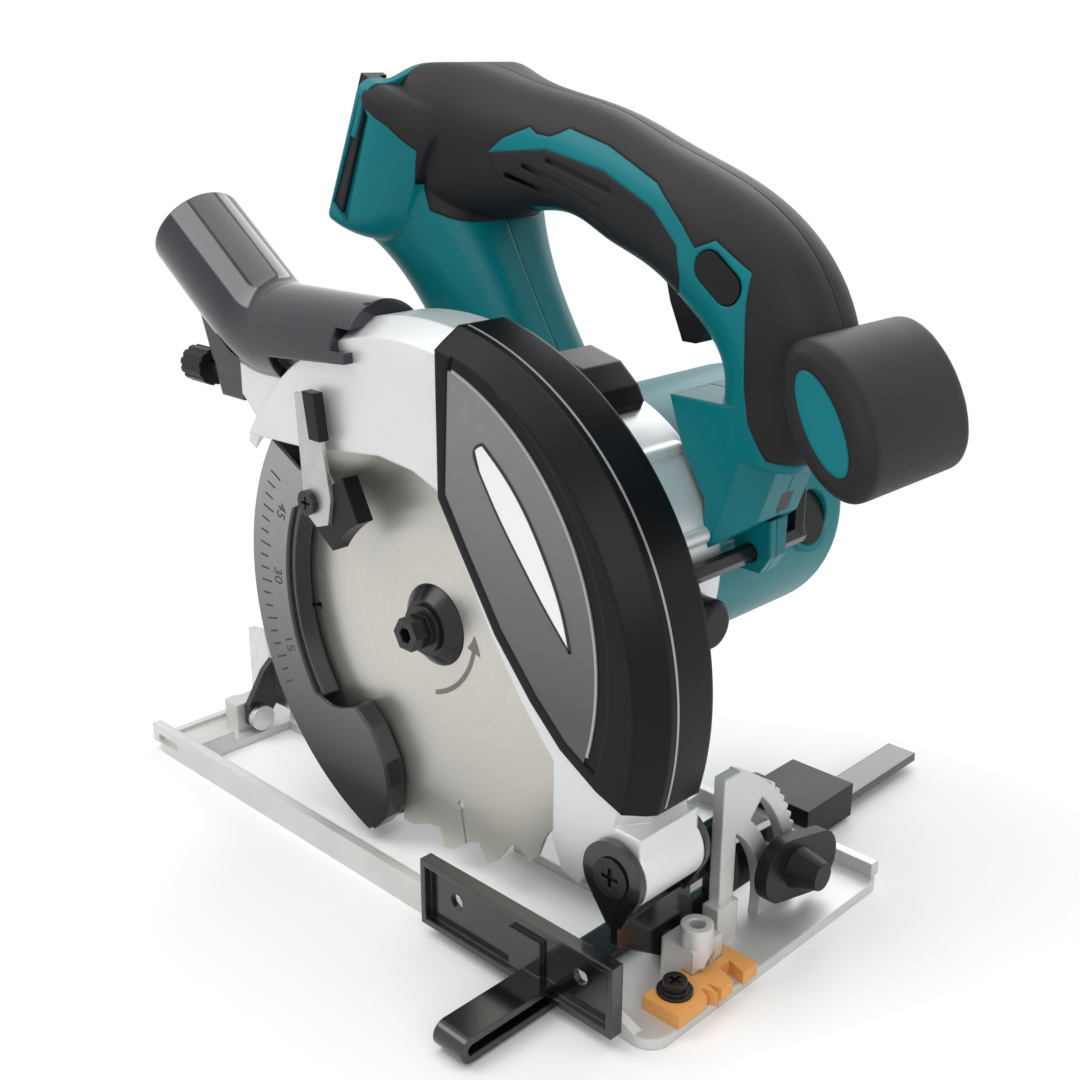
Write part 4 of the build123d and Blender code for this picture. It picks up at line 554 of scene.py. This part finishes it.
@dataclass
class GuardScale:
    """Ticks and numbers printed on the near face of the lower guard."""

    inner: float = 0.0790
    outer: float = 0.0835
    long_inner: float = 0.0775
    face_y: float = BLADE_Y - 0.0102
    print_depth: float = 0.00004
    width: float = 0.0007
    start_deg: float = 152.0
    step_deg: float = 3.4
    count: int = 18
    text_radius: float = 0.0735
    text_size: float = 0.0065
    long_every: int = 3
    numbers: tuple[tuple[str, float], ...] = (("45", 160.0), ("30", 180.0), ("15", 200.0))

    def ticks(self) -> bpy.types.Object:
        """Radial ticks: plates from an inner to an outer radius at even angles.

        Returns:
            The tick marks as one piece.
        """
        turn = np.radians(self.start_deg + self.step_deg * np.arange(self.count))
        inner = np.where(np.arange(self.count) % self.long_every == 0, self.long_inner, self.inner)
        radial = spokes(turn)
        sideways = spokes(turn + math.pi / 2)
        centre = np.array([BLADE_AXIS[0], self.face_y, BLADE_AXIS[2]])
        near = centre + radial * inner[:, None]
        far = centre + radial * self.outer
        half = sideways * self.width / 2
        corners = np.stack([near - half, far - half, far + half, near + half], axis=1)
        corners[:, :, 1] -= self.print_depth
        points, faces = slabs(corners, np.array([0.0, self.print_depth, 0.0]))
        return put_mesh("guard_ticks", points, faces)

    def number(self, text: str, degrees: float) -> bpy.types.Object:
        """One printed number, upright on its radius.

        Args:
            text: The digits.
            degrees: Angle of the number round the blade axis.

        Returns:
            The number as a flat mesh piece.
        """
        curve = bpy.data.curves.new(f"guard_number_{text}", "FONT")
        curve.body = text
        curve.size = self.text_size
        curve.align_x = "CENTER"
        curve.align_y = "CENTER"
        curve.extrude = self.print_depth / 2
        source = bpy.data.objects.new(f"text_{text}", curve)
        bpy.context.scene.collection.objects.link(source)
        bpy.context.view_layer.update()
        mesh = bpy.data.meshes.new_from_object(source.evaluated_get(bpy.context.evaluated_depsgraph_get()))
        bpy.data.objects.remove(source)
        bpy.data.curves.remove(curve)
        turn = math.radians(degrees)
        place = Matrix.Translation(
            (
                BLADE_AXIS[0] + self.text_radius * math.cos(turn),
                self.face_y - self.print_depth / 2,
                BLADE_AXIS[2] + self.text_radius * math.sin(turn),
            )
        )
        upright = Matrix.Rotation(math.radians(90.0), 4, "X")
        tilt = Matrix.Rotation(-(turn + math.pi / 2), 4, "Y")
        mesh.transform(place @ tilt @ upright)
        piece = bpy.data.objects.new(f"guard_number_{text}", mesh)
        bpy.context.scene.collection.objects.link(piece)
        return piece

    def build(self, ink: bpy.types.Material) -> None:
        """Print the scale on the guard.

        Args:
            ink: Material of the print.
        """
        printed = [self.number(text, at) for text, at in self.numbers]
        for piece in [self.ticks(), *printed]:
            finish_piece(piece, ink, "guard")


@dataclass
class BladeArrow:
    """Arrow etched on the blade, which shows the way it turns."""

    start_deg: float = -91.0
    head_deg: float = -13.0
    tip_deg: float = 5.0
    start_radius: float = 0.0243
    end_radius: float = 0.0189
    half_width: float = 0.0009
    head_half: float = 0.0032
    tip_share: float = 0.02
    face_y: float = BLADE_Y - 0.00075
    print_depth: float = 0.00004
    stations: int = 48

    def build(self, mat: bpy.types.Material) -> None:
        """Etch the arrow.

        The middle is a spiral whose radius falls with the square of the share still to go. The
        half width is even along the shaft, and falls evenly almost to nothing along the head.

        Args:
            mat: Material of the mark.
        """
        shaft = np.linspace(self.start_deg, self.head_deg, self.stations)
        head = np.linspace(self.head_deg, self.tip_deg, self.stations // 3)
        degrees = np.concatenate([shaft, head])
        share = np.clip((shaft[-1] - degrees) / (shaft[-1] - shaft[0]), 0.0, 1.0)
        radius = self.end_radius + (self.start_radius - self.end_radius) * share**2
        fall = np.linspace(1.0, self.tip_share, len(head))
        half = np.concatenate([np.full(len(shaft), self.half_width), self.head_half * fall])
        turn = np.radians(degrees)
        radial = spokes(turn)
        centre = np.array([BLADE_AXIS[0], self.face_y - self.print_depth, BLADE_AXIS[2]])
        middle = centre + radial * radius[:, None]
        depth = np.tile([0.0, self.print_depth, 0.0], (len(turn), 1))
        points, faces = ribbon(middle, radial * half[:, None], depth)
        finish_piece(put_mesh("blade_arrow", points, faces), mat, "blade_drive")


@dataclass
class CoverLinesAndPaintedHighlights:
    """Thin lines on the side cover: dark lines round the leaf, and painted highlights along the panel's edge
    and on the rim.
    """

    leaf_front: tuple[FlatPoint, ...] = (
        (38.5, 159.5),
        (47.0, 152.5),
        (56.0, 142.5),
        (64.0, 130.0),
        (70.0, 117.5),
        (73.5, 105.5),
    )
    leaf_back: tuple[FlatPoint, ...] = (
        (73.5, 105.5),
        (64.0, 115.5),
        (54.0, 127.5),
        (45.0, 139.0),
        (38.0, 149.5),
        (35.4, 157.5),
        (38.5, 159.5),
    )
    face_y: float = BLADE_Y - 0.0150
    panel_centre: FlatPoint = (-0.002, 0.0980)
    panel_radius: float = 0.0852
    panel_deg: tuple[float, float] = (71.0, -15.5)
    panel_sink: float = 0.0002
    panel_depth: float = 0.0005
    rim_radius: float = 0.1035
    rim_deg: tuple[float, float] = (78.5, -14.6)
    rim_y: float = BLADE_Y - 0.0030
    rim_depth: float = 0.00024
    line_half: float = 0.00045
    proud: float = 0.00006
    stations: int = 90

    def leaf_line(self, name: str, knots: tuple[FlatPoint, ...]) -> bpy.types.Object:
        """Line along one edge of the leaf: a spline through its corners, on the cover's face.

        Args:
            name: Name of the piece.
            knots: Corners of the edge in millimetres, forward and up.

        Returns:
            The line as a closed strip.
        """
        flat = np.array(knots) * MM
        place = np.stack([flat[:, 0], np.full(len(flat), self.face_y - self.proud), flat[:, 1]], axis=1)
        middle = smooth_line(place, self.stations)
        normal = np.tile([0.0, -1.0, 0.0], (self.stations, 1))
        half = across(middle, normal) * self.line_half
        return put_mesh(name, *ribbon(middle, half, -normal * self.proud))

    def panel_highlight(self) -> bpy.types.Object:
        """Painted highlight round the panel, in place of the light caught by its edge: an arc at one radius
        about the panel's centre.

        Returns:
            The line as a closed strip.
        """
        turn = np.radians(np.linspace(*self.panel_deg, self.stations))
        radial = spokes(turn)
        centre = np.array([self.panel_centre[0], self.face_y + self.panel_sink, self.panel_centre[1]])
        depth = np.tile([0.0, self.panel_depth, 0.0], (self.stations, 1))
        middle = centre + radial * self.panel_radius
        return put_mesh("panel_edge_highlight", *ribbon(middle, radial * self.line_half, depth))

    def rim_highlight(self) -> bpy.types.Object:
        """Painted highlight on the cover's rim, in place of the light caught by its edge: an arc at the rim's
        radius, as wide as the line along Y.

        Returns:
            The line as a closed strip.
        """
        turn = np.radians(np.linspace(*self.rim_deg, self.stations))
        radial = spokes(turn)
        centre = np.array([BLADE_AXIS[0], self.rim_y, BLADE_AXIS[2]])
        half = np.tile([0.0, self.line_half, 0.0], (self.stations, 1))
        middle = centre + radial * (self.rim_radius + self.proud)
        return put_mesh("cover_rim_highlight", *ribbon(middle, half, -radial * self.rim_depth))

    def build(self, ink: bpy.types.Material, bright: bpy.types.Material) -> None:
        """Put the dark lines and the painted highlights on the cover.

        Args:
            ink: Material of the dark lines.
            bright: Material of the painted highlight lines.
        """
        finish_piece(self.leaf_line("leaf_line_front", self.leaf_front), ink, "saw_head")
        finish_piece(self.leaf_line("leaf_line_back", self.leaf_back), ink, "saw_head")
        # Painted highlights: pale strips along the panel's edge and on the rim, in place of the light those
        # edges catch.
        finish_piece(self.panel_highlight(), bright, "saw_head")
        finish_piece(self.rim_highlight(), bright, "saw_head")


@dataclass
class HolderRim:
    """Teal rim that stands round the top of the battery holder, behind the soft cover."""

    origin: Point = (-0.0435, HANDLE_Y, 0.2355)
    slope_deg: float = -24.0
    half_knots: tuple[FlatPoint, ...] = (
        (-41.1, 4.0),
        (-41.1, 12.0),
        (-40.9, 18.0),
        (-39.0, 21.4),
        (-35.0, 22.0),
        (-30.5, 22.8),
        (-26.0, 25.0),
        (-21.0, 27.0),
        (-15.0, 27.7),
        (-8.0, 27.75),
        (0.0, 27.75),
    )
    wall: float = 0.0024
    back: float = -0.0018
    front: float = 0.0004
    stations: int = 160

    def build(self, mat: bpy.types.Material) -> None:
        """Stand the rim on the holder: a spline in the plane of the rear face, with a wall inwards.

        The knots go over one half in millimetres, across and up, and mirrored back over the other.

        Args:
            mat: Material of the rim.
        """
        slope = math.radians(self.slope_deg)
        along = np.array([math.cos(slope), 0.0, math.sin(slope)])
        up = np.array([-math.sin(slope), 0.0, math.cos(slope)])
        half = np.array(self.half_knots)
        knots = np.concatenate([half, half[-2::-1] * (-1.0, 1.0)])
        line = smooth_line(knots * MM, self.stations)
        outer = np.array(self.origin) + line[:, :1] * np.array([0.0, 1.0, 0.0]) + line[:, 1:] * up
        inward = across(outer, np.tile(along, (self.stations, 1)))
        inward *= np.sign(np.sum(inward * (np.array(self.origin) - outer), axis=1))[:, None]
        middle = outer + inward * self.wall / 2 + along * self.back
        depth = np.tile(along * (self.front - self.back), (self.stations, 1))
        piece = put_mesh("holder_rim", *ribbon(middle, inward * self.wall / 2, depth))
        finish_piece(piece, mat, "saw_head")


@dataclass
class Studio:
    """Floor, backdrop light and lamps."""

    floor_half: float = 6.0
    floor_colour: Colour = (0.93, 0.93, 0.93)
    clear_from: float = 0.24
    clear_to: float = 0.52
    floor_roughness: float = 0.7
    sky_light: float = 0.42
    lamps: tuple[tuple[str, Point, float, float], ...] = (
        ("key", (-0.55, -0.75, 1.25), 0.9, 9.0),
        ("fill", (1.15, -0.55, 0.75), 0.9, 5.0),
        ("top", (0.05, 0.15, 1.55), 1.3, 9.0),
        ("rear", (-0.35, 1.15, 0.85), 0.9, 6.0),
    )
    target: Point = (0.0, -0.03, 0.11)

    def floor(self) -> None:
        """Lay the pale floor, seen as white away from the object's shadow."""
        half = self.floor_half
        points = np.array([(-half, -half, 0.0), (half, -half, 0.0), (half, half, 0.0), (-half, half, 0.0)])
        piece = put_mesh("floor", points, np.array([[0, 1, 2, 3]]))
        mat = bpy.data.materials.new("floor")
        mat.use_nodes = True
        nodes, links = mat.node_tree.nodes, mat.node_tree.links
        shader = nodes["Principled BSDF"]
        shader.inputs["Base Color"].default_value = (*self.floor_colour, 1.0)
        shader.inputs["Roughness"].default_value = self.floor_roughness
        coords = nodes.new("ShaderNodeTexCoord")
        reach = nodes.new("ShaderNodeVectorMath")
        reach.operation = "LENGTH"
        links.new(coords.outputs["Object"], reach.inputs[0])
        clear = nodes.new("ShaderNodeMapRange")
        clear.interpolation_type = "SMOOTHSTEP"
        clear.inputs["From Min"].default_value = self.clear_from
        clear.inputs["From Max"].default_value = self.clear_to
        links.new(reach.outputs["Value"], clear.inputs["Value"])
        seen = self._seen_directly(nodes, links)
        share = nodes.new("ShaderNodeMath")
        share.operation = "MULTIPLY"
        links.new(clear.outputs["Result"], share.inputs[0])
        links.new(seen, share.inputs[1])
        white = nodes.new("ShaderNodeEmission")
        mix = nodes.new("ShaderNodeMixShader")
        links.new(share.outputs["Value"], mix.inputs["Fac"])
        links.new(shader.outputs["BSDF"], mix.inputs[1])
        links.new(white.outputs["Emission"], mix.inputs[2])
        links.new(mix.outputs["Shader"], nodes["Material Output"].inputs["Surface"])
        piece.data.materials.append(mat)

    @staticmethod
    def _seen_directly(nodes: bpy.types.Nodes, links: bpy.types.NodeLinks) -> bpy.types.NodeSocket:
        """One for camera, glossy and transmission rays, none for the rays that carry light."""
        path = nodes.new("ShaderNodeLightPath")
        first = nodes.new("ShaderNodeMath")
        first.operation = "MAXIMUM"
        links.new(path.outputs["Is Camera Ray"], first.inputs[0])
        links.new(path.outputs["Is Glossy Ray"], first.inputs[1])
        both = nodes.new("ShaderNodeMath")
        both.operation = "MAXIMUM"
        links.new(first.outputs["Value"], both.inputs[0])
        links.new(path.outputs["Is Transmission Ray"], both.inputs[1])
        return both.outputs["Value"]

    def world(self) -> None:
        """Even pale light from all round, white where it is seen or mirrored."""
        world = bpy.data.worlds.new("studio")
        bpy.context.scene.world = world
        world.use_nodes = True
        nodes, links = world.node_tree.nodes, world.node_tree.links
        back = nodes["Background"]
        back.inputs["Color"].default_value = (1.0, 1.0, 1.0, 1.0)
        strength = nodes.new("ShaderNodeMapRange")
        strength.inputs["To Min"].default_value = self.sky_light
        strength.inputs["To Max"].default_value = 1.0
        links.new(self._seen_directly(nodes, links), strength.inputs["Value"])
        links.new(strength.outputs["Result"], back.inputs["Strength"])

    def light(self) -> None:
        """Hang the soft lamps round the saw."""
        for name, place, size, power in self.lamps:
            lamp = bpy.data.lights.new(name, "AREA")
            lamp.shape = "SQUARE"
            lamp.size = size
            lamp.energy = power
            holder = bpy.data.objects.new(name, lamp)
            holder.location = place
            aim = Vector(self.target) - Vector(place)
            holder.rotation_euler = aim.to_track_quat("-Z", "Y").to_euler()
            bpy.context.scene.collection.objects.link(holder)

    def build(self) -> None:
        """Set up floor, world and lamps."""
        self.floor()
        self.world()
        self.light()
        bpy.context.scene.view_settings.view_transform = "Standard"


@dataclass
class PhotoCamera:
    """Camera at the photograph's place, with its lens."""

    place: Point = (0.3164, -0.3420, 0.2649)
    azimuth_deg: float = 44.3
    elevation_deg: float = 19.4
    roll_deg: float = 0.18
    lens_mm: float = 46.25
    sensor_mm: float = 36.0
    clip_start: float = 0.01

    def build(self) -> None:
        """Make the camera and give it to the scene."""
        turn, rise, roll = (
            math.radians(value) for value in (self.azimuth_deg, self.elevation_deg, self.roll_deg)
        )
        right = Vector((math.cos(turn), math.sin(turn), 0.0))
        up = Vector((-math.sin(rise) * math.sin(turn), math.sin(rise) * math.cos(turn), math.cos(rise)))
        rolled_right = right * math.cos(roll) + up * math.sin(roll)
        rolled_up = up * math.cos(roll) - right * math.sin(roll)
        back = rolled_right.cross(rolled_up)
        data = bpy.data.cameras.new("photo")
        data.lens = self.lens_mm
        data.sensor_width = self.sensor_mm
        data.clip_start = self.clip_start
        camera = bpy.data.objects.new("photo", data)
        axes = Matrix((rolled_right, rolled_up, back)).transposed().to_4x4()
        camera.matrix_world = Matrix.Translation(self.place) @ axes
        bpy.context.scene.collection.objects.link(camera)
        bpy.context.scene.camera = camera


def main() -> None:
    """Load the part, dress it, and set the studio round it."""
    logging.basicConfig(level=logging.INFO)
    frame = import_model()
    made = FinishedSolids().dress(frame)
    ink = PRINT.material()
    GuardScale().build(ink)
    BladeArrow().build(ETCHED.material())
    # Dark lines round the leaf, and painted highlights along the cover panel's edge and on its rim.
    CoverLinesAndPaintedHighlights().build(ink, PAINTED_EDGE_HIGHLIGHT.material())
    HolderRim().build(made[BODY_TEAL])
    RoundedKnob().build(frame)
    Studio().build()
    PhotoCamera().build()


if __name__ == "__main__":
    main()
